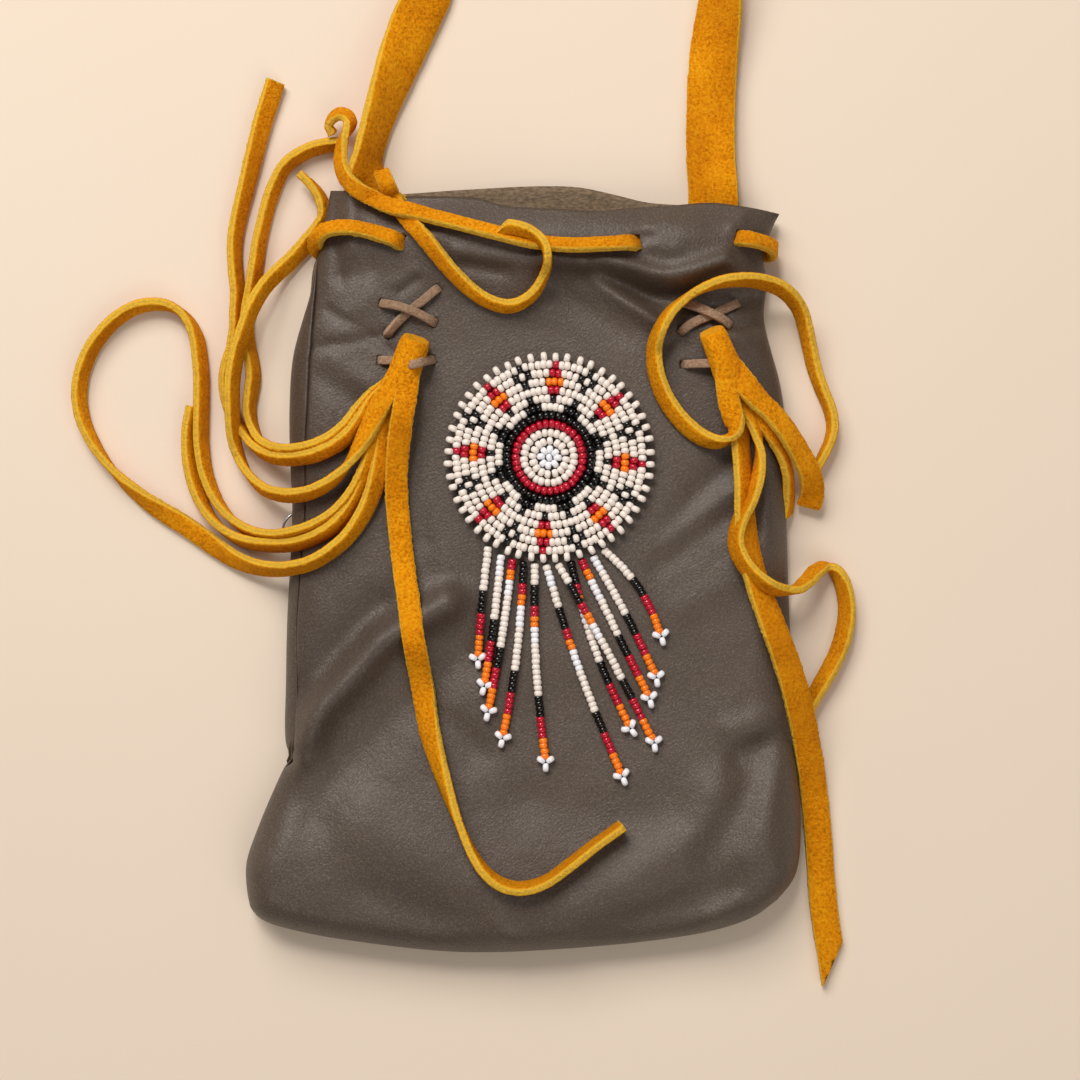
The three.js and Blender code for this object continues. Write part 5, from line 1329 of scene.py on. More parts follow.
@dataclass
class ShoulderStrap:
    """The suede strap: its two runs into the mouth, and the coil that holds the rest of it.

    Each arm of the coil starts at its angle, and turns until it is straight below or above the middle.
    """

    width: float = 12.5
    thickness: float = 2.2
    coil: Place = (36.0, 222.0)
    coil_height: float = 7.35
    outer: float = 46.1
    spacing: float = 5.0
    left_start: float = 180.0
    left_turns: float = 1.75
    right_start: float = 262.0
    right_turns: float = 1.5 - 8 / 360
    turn_steps: int = 16
    half_steps: int = 8

    def stop(self, middle_y: float, far: float, degrees: float) -> Stop:
        """One point of the coil, at a distance and an angle from a middle, with the strap on edge."""
        way = math.radians(degrees)
        return self.coil[0] + far * math.cos(way), middle_y + far * math.sin(way), at(self.coil_height), -90.0

    def spiral(self, angle: float, radius: float, turns: float) -> list[Stop]:
        """Points of one arm of the coil, clockwise and inward.

        Args:
            angle: Angle at which the arm starts, in degrees.
            radius: Radius at which it starts.
            turns: How many times it goes round.

        Returns:
            Its points from the outside in.
        """
        count = round(turns * self.turn_steps)
        return [self.stop(self.coil[1], radius - 2 * self.spacing * turns * i / count,
                          angle - 360 * turns * i / count) for i in range(1, count + 1)]

    def middle(self) -> list[Stop]:
        """Points of the two half circles that join the arms across the coil's middle."""
        half = (self.outer - 2 * self.spacing * self.left_turns) / 2
        return [self.stop(self.coil[1] + side * half, half, 270 + side * 180 * i / self.half_steps)
                for side in (-1, 1) for i in range(1, self.half_steps)]

    def build(self, ground: Ground, material: Material, tie: Piece) -> None:
        """Args:
            ground: What it lies on.
            material: Its finish.
            tie: Tape round the coil; not used.
        """
        left = self.spiral(self.left_start, self.outer, self.left_turns)
        right = self.spiral(self.right_start, self.outer - self.spacing / 2, self.right_turns)
        home = [(x, y, lie, -turn) for x, y, lie, turn in reversed(STRAP_RIGHT)]
        stops = [*STRAP_LEFT, *left, *self.middle(), *reversed(right), *home]
        strap = Lace("shoulder_strap", stops, self.width, self.thickness, step=0.9, corner=0.45)
        piece = strap.build(ground, material)
        place(piece, Slot.SUEDE, "strap_left_run", "strap_right_run", "strap_coil")
        strap.declare()


@dataclass
class Tassel:
    """A rolled suede head with its cut strands, and the tan lacing that holds it.

    Each section of the head has a place, a half width and a half height. By a strand's number, cuts has its
    slanted end's length and side. Joined strands run on into each other.
    """

    side: str
    head: tuple[Section, ...]
    strands: tuple[tuple[Stop, ...], ...]
    widths: tuple[float, ...]
    lacing: dict[str, tuple[Stop, ...]]
    cuts: dict[int, Span]
    joined: tuple[int, ...] = ()
    thickness: float = 2.1
    head_step: float = 0.5
    head_reach: float = 3.0
    end_shares: tuple[float, ...] = (0.12, 0.3, 0.5, 0.66, 0.78)
    rim_shares: tuple[float, ...] = (0.87, 0.94, 0.98)
    end_limit: float = 0.9
    end_dish: float = 0.5
    end_lean: float = 0.3
    end_mark: float = 0.22
    lean_fade: float = 0.25
    lap: float = 0.12
    lap_start: float = 0.62
    nap: tuple[Lump, ...] = ((0.1, 1.0, 2.0), (0.12, 4.0, 6.0))
    lacing_width: float = 2.15
    lacing_thickness: float = 1.2
    sides: int = 36

    def head_mesh(self, ground: Ground, material: Material) -> Piece:
        """Rolled head: round at its top, where the roll's end shows, and flatter toward the strands.

        Args:
            ground: What it lies on.
            material: Its finish.

        Returns:
            The head.
        """
        floor = max(ground.at(x, y, self.head_reach)[0] for x, y, *_ in self.head) + CLEARANCE
        rows, _ = smooth_line(np.array(self.head), self.head_step)
        ahead = np.gradient(rows[:, :2], axis=0)
        ahead /= np.linalg.norm(ahead, axis=1, keepdims=True)
        turn = np.linspace(0, 2 * np.pi, self.sides, endpoint=False)
        lap = self.lap * ((turn / (2 * np.pi) + self.lap_start) % 1.0) - self.lap / 2
        spots = [(0, share, self.end_dish * (1 - share) ** 2) for share in self.end_shares]
        spots += [(i, share, 0.0) for i, share in enumerate(self.rim_shares)]
        spots += [(i, 1.0, 0.0) for i in range(len(self.rim_shares), len(rows))]
        rings, marks = [], []
        for i, share, dish in spots:
            x, y, half_width, half_height = rows[i]
            radius = share + lap * share
            across = half_width * radius * np.cos(turn)
            lean = self.end_lean * half_height * radius * np.sin(turn) * max(0.0, 1 - self.lean_fade * i)
            along = dish + lean
            rings.append(np.column_stack([
                x - ahead[i, 1] * across + ahead[i, 0] * along,
                y + ahead[i, 0] * across + ahead[i, 1] * along,
                floor + half_height + half_height * radius * np.sin(turn)]))
            marks.append(np.full(self.sides, self.end_mark if share < self.end_limit else 0.0))
        points = np.concatenate(rings)
        points += sum(height * wobble(points, size, seed) for height, size, seed in self.nap)[:, None]
        faces = tube_faces(len(rings), self.sides)
        piece = mesh_object(f"{self.side}_rolled_head", points, faces, (material,))
        paint(piece, "cut_edge", np.concatenate(marks))
        return piece

    def build(self, ground: Ground, suede: Material, tan: Material) -> None:
        """Makes the head, the strands and the lacing.

        Args:
            ground: What they lie on.
            suede: Finish of the tassel.
            tan: Finish of the lacing.
        """
        place(self.head_mesh(ground, suede), Slot.SUEDE, f"{self.side}_tassel_head")
        for i, (stops, width) in enumerate(zip(self.strands, self.widths), 1):
            cut, cut_side = self.cuts.get(i, (0.0, 1.0))
            joined = i in self.joined
            strand = Lace(f"{self.side}_strand_{i}", stops, width, self.thickness, cut_length=cut,
                          cut_side=cut_side, seed=0.0 if joined else float(i),
                          ends=(1.0, 0.0 if joined else 1.0))
            piece = strand.build(ground, suede)
            place(piece, Slot.SUEDE, f"{self.side}_tassel_strand_{i}")
            strand.declare()
        for part, stops in self.lacing.items():
            lace = Lace(f"{self.side}_lace_{part}", stops, self.lacing_width, self.lacing_thickness,
                        step=0.4, corner=0.2, fray=0.08, seed=len(part))
            place(lace.build(ground, tan), Slot.TAN, f"{self.side}_lacing_{part}")


LEFT_TASSEL = Tassel(
    side="left",
    head=(
        (-26.6, 57.6, 3.8, 3.6), (-28.3, 52.8, 4, 3.7), (-30, 48, 4.2, 3.5), (-32, 44.2, 4.6, 3.3),
        (-34.6, 41.1, 5.2, 2.9), (-36.5, 37.9, 5.4, 2.0)),
    strands=LEFT_STRANDS,
    widths=(5.0, 5.0, 5.0, 5.0, 5.0, 5.0, 5.6),
    lacing={
        "lower": (
            (-19, 72.2, inside, 0), (-20.5, 70.9, inside, 0), (-21.9, 69.8, 0, 0), (-25, 67.2, 0.3, 0),
            (-28, 64.9, 0.2, 10), (-30.4, 62.8, 0.1, 25), (-32.4, 60.6, 0, 40), (-33.5, 59.3, 0, 40),
            (-34.6, 58, inside, 30), (-35.6, 56.8, inside, 0),
        ),
        "upper": (
            (-38, 67.5, inside, 0), (-36.2, 66.9, inside, 0), (-34.8, 66.5, 0, 8), (-31.5, 65.8, 1.6, 12),
            (-28.7, 64.9, 2.3, 12), (-25.8, 63.7, 1.6, 12), (-22.8, 62.1, 0, 8), (-21.3, 61.2, inside, 0),
            (-19.6, 60.2, inside, 0),
        ),
        "bar": (
            (-38.2, 52.4, inside, 0), (-36.6, 52.4, inside, 0), (-35.2, 52.4, 0, 0), (-33, 52.2, 1, 0),
            (-30.8, 51.8, 3, 0), (-28.8, 51, 5.2, 0), (-27.2, 50.8, 6.9, 0), (-25.6, 51.2, 6.6, 0),
            (-24.2, 51.9, 3.8, 0), (-23.1, 52.4, 0.6, 0), (-21.8, 52.8, inside, 0), (-20, 53, inside, 0),
        ),
    },
    cuts={3: (6.0, 1.0)},
    joined=(4, 6),
)

RIGHT_TASSEL = Tassel(
    side="right",
    head=(
        (46.5, 59.5, 3.3, 3.3), (48.3, 55.3, 3.6, 3.5), (50, 51, 3.8, 3.5), (51.8, 46.8, 4.2, 3.2),
        (53.4, 43.4, 4.4, 2.4)),
    strands=RIGHT_STRANDS,
    widths=(5.4, 6.0, 5.0, 5.0, 6.9),
    lacing={
        "lower": (
            (55.6, 68, inside, 0), (54.4, 67.2, inside, 0), (53, 66.5, 0, 0), (49.5, 64.8, 0.2, 0),
            (46, 63.2, 0.2, 0), (43.2, 62.1, 0.1, 8), (41.2, 61, 0, 16), (40.1, 60.1, 0, 18),
            (38.9, 58.9, inside, 10), (38, 57.7, inside, 0),
        ),
        "upper": (
            (37.8, 67.8, inside, 0), (39, 67.3, inside, 0), (40.4, 66.7, 0, 10), (43.6, 65.4, 1.6, 14),
            (46.6, 64, 2.2, 14), (49.4, 62.6, 1.6, 14), (51.1, 61.6, 0, 10), (52.4, 60.8, inside, 0),
            (54, 59.8, inside, 0),
        ),
        "bar": (
            (37.8, 51.4, inside, 0), (39.4, 51.4, inside, 0), (41, 51.4, 0, 0), (42.6, 51.4, 0.8, 0),
            (44.5, 51.4, 1.8, 0), (47, 51.4, 2.6, 0), (49.5, 51.4, 2.4, 0), (51.6, 51.3, 1.4, 0),
        ),
    },
    cuts={5: (10.5, -1.0)},
)

SLITS: tuple[Slit, ...] = (
    (-21.2, 70.4, 40, 1.1, 2.1), (-34.1, 58.6, 50, 1.1, 2.1), (-35.6, 66.7, -18, 1.1, 2.1),
    (-22, 61.7, -30, 1.1, 2.1), (-36, 52.4, 0, 1.1, 2.1), (-22.4, 52.6, 20, 1.1, 2.1),
    (53.7, 66.9, 30, 1.1, 2.1), (39.4, 59.4, 46, 1.2, 2.1), (39.7, 67, -25, 1.1, 2.1),
    (51.8, 61.2, -32, 1.1, 2.1), (40.1, 51.4, 0, 1.8, 2.0), (-30.4, 81.8, -19, 1.5, 3.9),
    (28.2, 81.3, 6, 2.0, 4.0), (53.6, 82.8, -10, 1.6, 3.9),
)


# Beadwork.


class BeadColour(Enum):
    """Colours of the opaque seed beads."""

    CREAM = "#efe5de"
    WHITE = "#f0f1f8"
    RED = "#b60c2b"
    ORANGE = "#fa7d0a"
    BLACK = "#030304"


CREAM, WHITE, RED, ORANGE, BLACK = BeadColour
Run = tuple[BeadColour, int]


@dataclass
class Bead:
    """One seed bead: its middle, the way its hole runs, its colour, its size and its stretch across."""

    middle: Spot
    hole: Spot
    colour: BeadColour
    size: float = 1.0
    stretch: float = 1.0

    def scale(self) -> Spot:
        """Scale across the hole, twice, and along it."""
        return self.size * self.stretch, self.size * self.stretch, self.size


@dataclass
class BeadMaker:
    """Strings seed beads: one bead shape set at each place, turned to its hole and given its colour."""

    material: Material
    diameter: float = 2.18
    length: float = 1.6
    hole: float = 0.7
    fullness: float = 0.84
    round_steps: int = 12
    wall_steps: int = 7

    def __post_init__(self) -> None:
        """Builds the tree of one bead: a half round wall, made fuller, swept round its hole."""
        made = Repeater("seed_bead_stringing", ("Hole radius", "Wall width", "Half length"))
        given = made.given
        ring = made.add("GeometryNodeCurvePrimitiveCircle", {
            "Resolution": self.round_steps, "Radius": given["Hole radius"]})
        wall = made.add("GeometryNodeCurveArc", {
            "Resolution": self.wall_steps, "Radius": 1.0, "Start Angle": -math.pi / 2,
            "Sweep Angle": math.pi})
        spot = add_node(made.tree, "ShaderNodeSeparateXYZ", {0: made.add("GeometryNodeInputPosition")})
        fuller = []
        for part in spot.outputs[:2]:
            size = made.add("ShaderNodeMath", {0: part}, operation="ABSOLUTE")
            drawn = made.add("ShaderNodeMath", {0: size, 1: self.fullness}, operation="POWER")
            side = made.add("ShaderNodeMath", {0: part}, operation="SIGN")
            fuller.append(made.add("ShaderNodeMath", {0: drawn, 1: side}, operation="MULTIPLY"))
        squarer = made.add("ShaderNodeCombineXYZ", {0: fuller[0], 1: fuller[1]})
        barrel = made.add("GeometryNodeSetPosition", {"Geometry": wall, "Position": squarer})
        closed = made.add("GeometryNodeSetSplineCyclic", {"Geometry": barrel, "Cyclic": True})
        oval = made.add("ShaderNodeCombineXYZ", {0: given["Wall width"], 1: given["Half length"], 2: 1.0})
        profile = made.add("GeometryNodeTransform", {"Geometry": closed, "Scale": oval})
        shell = made.add("GeometryNodeCurveToMesh", {"Curve": ring, "Profile Curve": profile})
        hole, size = (made.add("GeometryNodeInputNamedAttribute", {"Name": name}, data_type="FLOAT_VECTOR")
                      for name in ("hole_way", "bead_size"))
        turned = made.add("FunctionNodeAlignRotationToVector", {"Vector": hole}, axis="Z")
        beads = made.add("GeometryNodeInstanceOnPoints", {
            "Points": given["Places"], "Instance": shell, "Rotation": turned, "Scale": size})
        made.finish(beads, self.material)
        self.made = made

    def string(self, name: str, beads: Sequence[Bead]) -> Piece:
        """Makes one piece of beadwork.

        Args:
            name: Name of the piece.
            beads: Its beads.

        Returns:
            The beadwork as a plain mesh.
        """
        piece = mesh_object(name, np.array([bead.middle for bead in beads]), [], ())
        layers = (("hole_way", "FLOAT_VECTOR", "vector", [bead.hole for bead in beads]),
                  ("bead_size", "FLOAT_VECTOR", "vector", [bead.scale() for bead in beads]),
                  ("bead_colour", "FLOAT_COLOR", "color", [linear(bead.colour.value) for bead in beads]))
        for label, kind, key, values in layers:
            layer = piece.data.attributes.new(label, kind, "POINT")
            layer.data.foreach_set(key, np.array(values, np.float32).reshape(-1))
        self.made.apply(piece, {
            "Hole radius": self.hole / 2, "Wall width": (self.diameter - self.hole) / 2,
            "Half length": self.length / 2})
        return piece


@dataclass
class Rosette:
    """Hand-sewn rosette: rings of beads from the middle out, and a picot edging.

    A slip moves a bead along its ring by a share of its step, and a stray moves it across, in millimetres.
    """

    x: float = 6.5
    y: float = 28.0
    floor: float = 13.4
    bead: float = 2.1
    bead_rise: float = 0.55
    middle_hole: Spot = (1.0, 0.3, 0.2)
    middle_size: float = 0.9
    first: float = 2.0
    pitch: float = 2.12
    counts: tuple[int, ...] = (8, 16, 26, 35, 44, 56, 64, 72, 80, 88, 96)
    half_step_rings: tuple[int, ...] = (6, 8, 10)
    motifs: int = 8
    motif_angle: float = 86.0
    slip: float = 0.09
    stray: float = 0.1
    sizes: Span = (0.95, 1.03)
    seats: Span = (-0.06, 0.1)
    lean: float = 0.13
    tilt: float = 0.1
    picots: int = 52
    picot_radius: float = 25.15
    picot_stretch: float = 1.1
    picot_slip: float = 0.07
    picot_stray: float = 0.15
    picot_lean: float = 0.16

    def colour(self, ring: int, off: float) -> BeadColour:
        """Colour of a bead.

        Args:
            ring: Number of its ring, from 1 at the middle.
            off: How many beads it lies from the nearest motif's axis.

        Returns:
            The bead's colour.
        """
        between = self.counts[ring - 1] / self.motifs / 2 - off
        plain = {1: WHITE, 4: RED, 5: BLACK}
        if ring in plain:
            return plain[ring]
        motif = {7: (0.4, BLACK), 8: (0.6, RED), 9: (1.2, ORANGE), 10: (0.6, RED), 11: (0.4, RED)}
        if ring in motif and off < motif[ring][0]:
            return motif[ring][1]
        dark = {6: (0.0, 1.2), 7: (0.0, 0.4), 9: (0.0, 0.4), 10: (0.8, 1.2), 11: (0.0, 0.4)}
        if ring in dark and dark[ring][0] <= between < dark[ring][1]:
            return BLACK
        return CREAM

    def spot(self, far: float, way: float, height: float) -> Spot:
        """Place at a distance and an angle from the rosette's middle."""
        return self.x + far * math.cos(way), self.y + far * math.sin(way), height

    def beads(self) -> list[Bead]:
        """All the beads of the rosette, from the middle out.

        Returns:
            The beads.
        """
        draw = random.Random(SEED)
        high = self.floor + self.bead_rise * self.bead
        made = [Bead((self.x, self.y, high), self.middle_hole, WHITE, self.middle_size)]
        for ring, count in enumerate(self.counts, 1):
            radius = self.first + (ring - 1) * self.pitch
            shift = 0.5 if ring in self.half_step_rings else 0.0
            for k in range(count):
                per_motif = count / self.motifs
                off = abs((k + shift + per_motif / 2) % per_motif - per_motif / 2)
                slip = draw.uniform(-self.slip, self.slip)
                way = math.radians(self.motif_angle + 360 * (k + shift + slip) / count)
                far = radius + draw.uniform(-self.stray, self.stray)
                size = draw.uniform(*self.sizes)
                middle = self.spot(far, way, self.floor + self.bead / 2 + draw.uniform(*self.seats))
                lean = way + draw.uniform(-self.lean, self.lean)
                hole = (-math.sin(lean), math.cos(lean), draw.uniform(-self.tilt, self.tilt))
                made.append(Bead(middle, hole, self.colour(ring, off), size))
        for k in range(self.picots):
            slip = draw.uniform(-self.picot_slip, self.picot_slip)
            way = math.radians(360 * (k + 0.5 + slip) / self.picots)
            far = self.picot_radius + draw.uniform(-self.picot_stray, self.picot_stray)
            lean = way + draw.uniform(-self.picot_lean, self.picot_lean)
            hole = (-math.sin(lean), math.cos(lean), 0.0)
            made.append(Bead(self.spot(far, way, high), hole, CREAM, 1.0, self.picot_stretch))
        return made


@dataclass
class FringeStrand:
    """One strand of the fringe: its start and tip, its bow to the left, its hop and its bead runs."""

    start: Place
    tip: Place
    bow: float
    hop: float
    runs: tuple[Run, ...]


TAIL: tuple[Run, ...] = ((BLACK, 4), (RED, 4), (ORANGE, 4))
BAND: tuple[Run, ...] = ((BLACK, 4), (RED, 2), (ORANGE, 2))


@dataclass
class Fringe:
    """Strands of seed beads from the rosette's lower edge, each ending in three white beads."""

    bead: float = 2.1
    points: int = 17
    line_step: float = 0.25
    hop_share: float = 0.75
    hop_round: float = 0.7
    tilt: float = 0.1
    stray: float = 0.07
    sizes: Span = (0.95, 1.02)
    trefoil: float = 1.3
    trefoil_gap: float = 0.8
    trefoil_spin: float = 0.35
    trefoil_bead: Span = (0.97, 1.1)
    strands: tuple[FringeStrand, ...] = (
        FringeStrand((-8.7, 5.9), (-11.3, -21.6), -0.2, 0.0, ((CREAM, 8),) + TAIL),
        FringeStrand((-5.5, 3.8), (-9.6, -28.2), 0.3, 0.0, ((WHITE, 4), (CREAM, 8)) + TAIL),
        FringeStrand((-2.7, 2.7), (-8.6, -34.6), 0.5, 0.0, BAND[1:] + ((WHITE, 3), (CREAM, 10)) + TAIL),
        FringeStrand((0.1, 2.1), (-5.0, -41.2), 1.0, 0.0, BAND + ((WHITE, 4), (CREAM, 8)) + TAIL),
        FringeStrand((2.9, 1.6), (5.5, -47.1), -1.0, 0.0,
                     ((CREAM, 4),) + BAND + ((WHITE, 3), (CREAM, 10)) + TAIL),
        FringeStrand((5.7, 1.2), (24.4, -50.7), -1.0, 0.0,
                     ((CREAM, 1), (WHITE, 3), (CREAM, 4)) + BAND + ((WHITE, 4), (CREAM, 8)) + TAIL),
        FringeStrand((8.7, 1.5), (32.3, -42.3), 0.5, 2.5,
                     ((CREAM, 4),) + BAND + ((WHITE, 3), (CREAM, 8)) + TAIL),
        FringeStrand((11.9, 2.2), (26.4, -38.8), -1.6, 0.0, BAND + ((WHITE, 3), (CREAM, 7)) + TAIL),
        FringeStrand((14.4, 2.7), (31.2, -31.4), 0.0, 0.0, BAND[1:] + ((WHITE, 4), (CREAM, 7)) + TAIL),
        FringeStrand((17.4, 3.5), (32.9, -26.1), 0.5, 0.0, ((WHITE, 3), (CREAM, 9)) + TAIL),
        FringeStrand((19.9, 5.2), (34.2, -15.8), 2.0, 0.0, ((CREAM, 8),) + TAIL),
    )

    def line(self, strand: FringeStrand, ground: Ground) -> np.ndarray:
        """Points along a strand's thread.

        Args:
            strand: The strand.
            ground: What it lies on.

        Returns:
            The points.
        """
        start, tip = np.array(strand.start), np.array(strand.tip)
        way = (tip - start) / np.linalg.norm(tip - start)
        left = np.array([-way[1], way[0]])
        points = []
        for share in np.linspace(0, 1, self.points):
            spot = start + (tip - start) * share + left * strand.bow * math.sin(math.pi * share)
            rise = math.sin(math.pi * min(share / self.hop_share, 1.0))
            over = strand.hop * rise ** self.hop_round
            points.append((*spot, on(over)(ground.at(*spot, self.bead / 2), self.bead / 2)))
        return smooth_line(np.array(points), self.line_step)[0]

    def beads(self, line: np.ndarray, runs: Sequence[Run], seed: int) -> tuple[list[Bead], np.ndarray]:
        """Beads of one strand and the thread's whole line.

        Args:
            line: Line of the strand.
            runs: Its bead runs from the top.
            seed: Number for its small differences.

        Returns:
            The beads, and the line on to the end of the trefoil.
        """
        draw = random.Random(SEED + seed)
        colours = [colour for colour, count in runs for _ in range(count)]
        along = np.concatenate([[0], np.cumsum(np.linalg.norm(np.diff(line, axis=0), axis=1))])
        stops = (np.arange(len(colours)) + 0.5) * along[-1] / len(colours)
        middles = np.stack([np.interp(stops, along, line[:, k]) for k in range(3)], axis=1)
        ways = np.gradient(middles, axis=0)
        made = []
        for middle, way, colour in zip(middles, ways, colours):
            hole = way / np.linalg.norm(way) + [draw.uniform(-self.tilt, self.tilt) for _ in range(3)]
            spot = middle + [*(draw.uniform(-self.stray, self.stray) for _ in range(2)), 0]
            made.append(Bead(tuple(spot), tuple(hole), colour, draw.uniform(*self.sizes)))
        ahead = ways[-1, :2] / np.linalg.norm(ways[-1, :2])
        knot = line[-1] + np.array([*(ahead * self.trefoil_gap), 0])
        spin = math.atan2(ahead[1], ahead[0]) + draw.uniform(-self.trefoil_spin, self.trefoil_spin)
        for k in range(3):
            way = spin + 2 * math.pi * k / 3
            spot = knot + self.trefoil * np.array([math.cos(way), math.sin(way), 0])
            made.append(Bead(tuple(spot), (-math.sin(way), math.cos(way), 0.0), WHITE, *self.trefoil_bead))
        return made, np.vstack([line, knot + np.array([*(ahead * self.trefoil), 0])])


def build_beadwork(ground: Ground) -> None:
    """Args:
        ground: What the fringe lies on.
    """
    maker = BeadMaker(SeedBeadGlass().material())
    rosette = Rosette()
    rings = [f"bead_ring_{ring:02d}" for ring in range(1, len(rosette.counts) + 1)]
    place(maker.string("bead_rosette", rosette.beads()), Slot.CREAM, *rings, "picot_edging")
    fringe = Fringe()
    for i, strand in enumerate(fringe.strands, 1):
        beads, line = fringe.beads(fringe.line(strand, ground), strand.runs, i)
        piece = maker.string(f"fringe_beads_{i:02d}", beads)
        place(piece, Slot.CREAM, f"fringe_strand_{i:02d}")
        path = line * MM
        if line_length(path) < SHORTEST_CORD:
            continue


# Wire and thread.


@dataclass
class WireRing:
    """Small ring of silver wire through the left edge."""

    radius: float = 4.65
    wire: float = 0.7
    y: float = 10.0
    z: float = 2.9
    shows: float = 2.6
    steps: int = 64
    sides: int = 12

    def build(self, edge_x: float, material: Material) -> Piece:
        """Makes the ring.

        Args:
            edge_x: Place of the pouch's left edge beside it.
            material: Its finish.

        Returns:
            The ring.
        """
        middle = edge_x + self.radius + self.wire / 2 - self.shows
        round_way = np.linspace(0, 2 * np.pi, self.steps, endpoint=False)[:, None]
        wire_way = np.linspace(0, 2 * np.pi, self.sides, endpoint=False)[None, :]
        far = self.radius + self.wire / 2 * np.cos(wire_way)
        points = np.stack([middle + far * np.cos(round_way), self.y + far * np.sin(round_way),
                           self.z + self.wire / 2 * np.sin(wire_way) + 0 * round_way], axis=-1)
        faces = tube_faces(self.steps, self.sides, closed=True)
        return mesh_object("edge_wire_ring", points.reshape(-1, 3), faces, (material,))


@dataclass
class SeamStitches:
    """Row of dark stitches down the valley of the turned seam; they also darken the valley as painted shade.
    """

    pitch: float = 2.6
    length: float = 1.7
    thread: float = 0.35

    def build(self, line: np.ndarray, material: Material) -> Piece:
        """Makes the stitches along a line.

        Args:
            line: Points down the seam.
            material: Thread's finish.

        Returns:
            The stitches as one plain mesh.
        """
        made = Repeater("seam_stitching", ("Stitch pitch", "Stitch length", "Thread radius"))
        given = made.given
        curve = made.add("GeometryNodeMeshToCurve", {"Mesh": given["Places"]})
        spots = add_node(made.tree, "GeometryNodeCurveToPoints", {
            "Curve": curve, "Length": given["Stitch pitch"]}, mode="LENGTH").outputs
        shape = made.add("GeometryNodeMeshUVSphere", {
            "Segments": 8, "Rings": 6, "Radius": given["Thread radius"]})
        ratio = made.add("ShaderNodeMath", {
            0: given["Stitch length"], 1: given["Thread radius"]}, operation="DIVIDE")
        half = made.add("ShaderNodeMath", {0: ratio, 1: 0.5}, operation="MULTIPLY")
        drawn = made.add("ShaderNodeCombineXYZ", {0: 1.0, 1: 1.0, 2: half})
        stitch = made.add("GeometryNodeTransform", {"Geometry": shape, "Scale": drawn})
        made.finish(made.add("GeometryNodeInstanceOnPoints", {
            "Points": spots[0], "Instance": stitch, "Rotation": spots["Rotation"]}), material)
        edges = [(i, i + 1) for i in range(len(line) - 1)]
        piece = mesh_object("seam_stitches", line, [], (), edges)
        made.apply(piece, {
            "Stitch pitch": self.pitch, "Stitch length": self.length, "Thread radius": self.thread / 2})
        return piece


# The studio.


@dataclass(frozen=True)
class Lamp:
    """A soft lamp that points at the pouch: its place and size in metres, power in watts and spread."""

    name: str
    spot: Spot
    size: Span
    power: float
    colour: str
    spread: float = 180.0

    def build(self) -> None:
        """Adds the lamp to the scene."""
        data = bpy.data.lights.new(self.name, "AREA")
        data.shape = "RECTANGLE"
        data.size, data.size_y = self.size
        data.energy = self.power
        data.spread = math.radians(self.spread)
        data.color = linear(self.colour)[:3]
        lamp = bpy.data.objects.new(self.name, data)
        lamp.location = self.spot
        lamp.rotation_euler = (-Vector(self.spot)).to_track_quat("-Z", "Y").to_euler()
        bpy.context.scene.collection.objects.link(lamp)


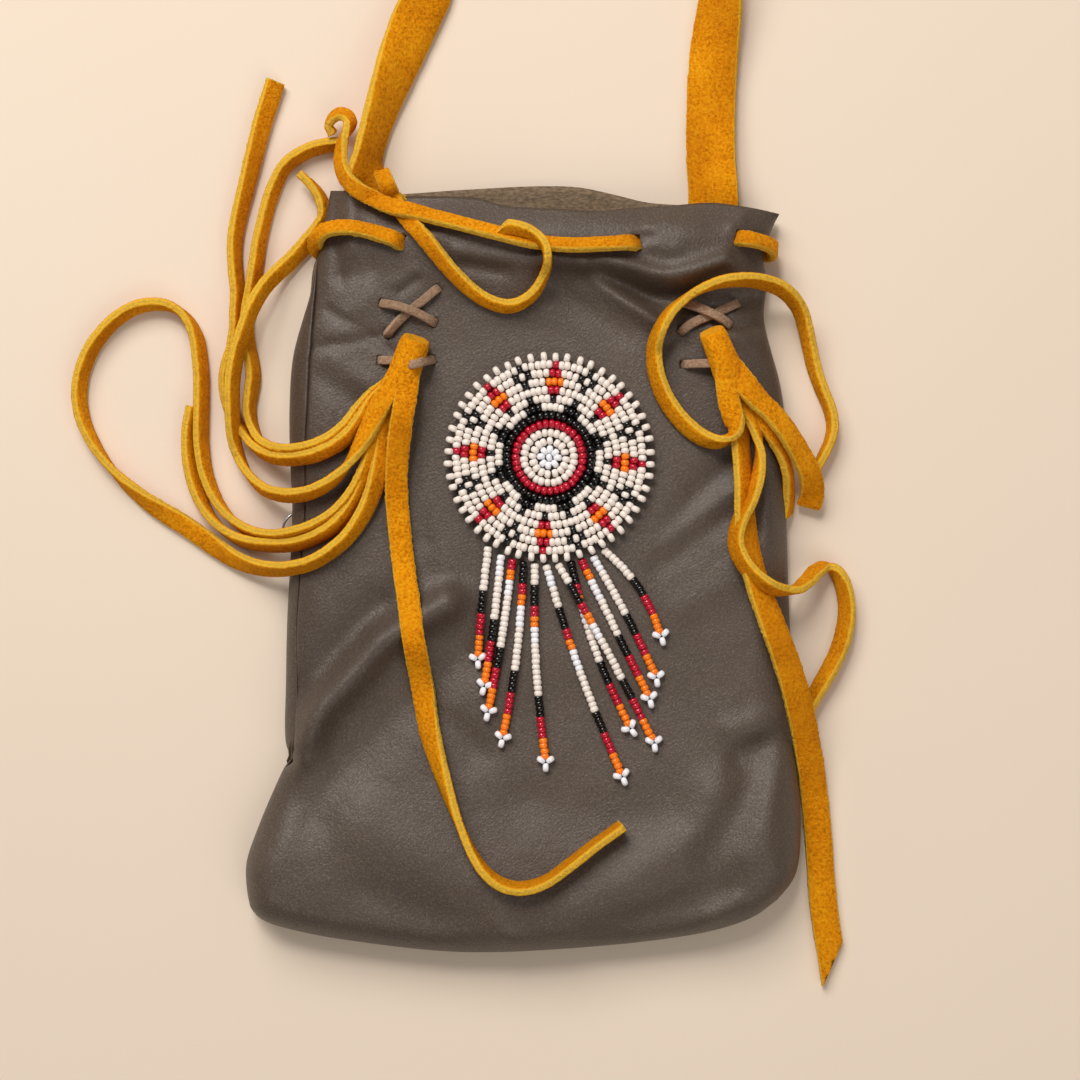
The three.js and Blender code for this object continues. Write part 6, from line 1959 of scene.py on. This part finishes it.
@dataclass
class Studio:
    """Pale floor, soft light and a camera that looks straight down."""

    eye: Spot = (4.2, 7.5, 590.0)
    focal_px: float = 2312.0
    frame_px: float = 1080.0
    sensor: float = 36.0
    near: float = 0.01
    floor_pale: str = "#e4d6c6"
    floor_deep: str = "#e0d1c0"
    floor_cloud_mm: float = 180.0
    floor_size: float = 6000.0
    floor_drop: float = 0.05
    sky: str = "#f4efe9"
    sky_strength: float = 0.28
    lamps: tuple[Lamp, ...] = (
        Lamp("window", (-0.38, 0.78, 0.84), (0.85, 0.5), 4.75, "#fff8f0", 120.0),
        Lamp("pane", (-0.2, 0.72, 1.2), (0.26, 0.26), 5.2, "#fffaf4"),
        Lamp("fill", (0.5, -0.8, 1.1), (1.0, 1.0), 5.1, "#fff4e8"),
    )

    def camera(self) -> None:
        """Makes the camera."""
        camera = bpy.data.objects.new("camera", bpy.data.cameras.new("camera"))
        camera.data.sensor_width = self.sensor
        camera.data.lens = self.sensor * self.focal_px / self.frame_px
        camera.data.clip_start = self.near
        camera.location = Vector(self.eye) * MM
        bpy.context.scene.collection.objects.link(camera)
        bpy.context.scene.camera = camera

    def floor(self) -> None:
        """Makes the floor, of a plain pale matt paint."""
        material, tree, shader = new_material("pale_matt_floor")
        cloud = noise(tree, own_places(tree), self.floor_cloud_mm, 2.0)
        tone = mix(tree, cloud, linear(self.floor_deep), linear(self.floor_pale))
        feed(tree, shader, {"Base Color": tone, "Roughness": 0.7})
        half = self.floor_size / 2
        corners = [(a * half, b * half, -self.floor_drop) for a, b in ((-1, -1), (1, -1), (1, 1), (-1, 1))]
        mesh_object("studio_floor", np.array(corners), [(0, 1, 2, 3)], (material,))

    def build(self) -> None:
        """Makes the camera, the floor and the lights."""
        bpy.context.scene.view_settings.view_transform = "Standard"
        self.camera()
        self.floor()
        for lamp in self.lamps:
            lamp.build()
        world = bpy.data.worlds.new("soft_room")
        world.use_nodes = True
        feed(world.node_tree, world.node_tree.nodes["Background"], {
            "Color": linear(self.sky), "Strength": self.sky_strength})
        bpy.context.scene.world = world


# The whole pouch.


def dress_solid(node: Piece, material: Material) -> None:
    """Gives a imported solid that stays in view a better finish.

    Args:
        node: The solid.
        material: Its finish.
    """
    node.data.materials.clear()
    node.data.materials.append(material)
    LOG.info("%s: kept with its own shape", node.name)


def main() -> None:
    """Builds the pouch's pieces in order."""
    logging.basicConfig(level=logging.INFO, format="%(name)s %(message)s")
    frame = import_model()
    nodes = frame["nodes"]
    Studio().build()
    suede = GOLDEN_SUEDE.material()
    tan = TAN_LACE.material()

    pouch = Pouch()
    flesh = FleshSide().material()
    front, back = pouch.build(GrainLeather().material(), flesh)
    ground = Ground((front, back))
    pouch.cut(front, SLITS, flesh)
    place(front, Slot.LEATHER, "front_panel")
    place(back, Slot.LEATHER, "back_panel")
    place(SeamStitches().build(pouch.seam_line(), WAXED_THREAD_GROOVE_SHADE.material()), Slot.LEATHER)

    dress_solid(nodes["strap_tie"], COTTON_TAPE.material())
    # The backing's dark finish is painted shade between the beads.
    dress_solid(nodes["rosette_backing"], BACKING_FELT_GAP_SHADE.material())
    ShoulderStrap().build(ground, suede, nodes["strap_tie"])
    drawstring = Lace("drawstring_lace", DRAWSTRING, width=4.0, thickness=2.1, cut_length=4.0,
                      cut_side=-1.0, seed=3.0)
    piece = drawstring.build(ground, suede)
    place(piece, Slot.SUEDE, "drawstring")
    drawstring.declare()
    for tassel in (LEFT_TASSEL, RIGHT_TASSEL):
        tassel.build(ground, suede, tan)
    build_beadwork(ground)
    ring = WireRing()
    edge = pouch.left[np.abs(pouch.left[:, 1] - ring.y).argmin(), 0]
    place(ring.build(float(edge), DrawnWire().material()), Slot.WIRE, "edge_ring")


if __name__ == "__main__":
    main()
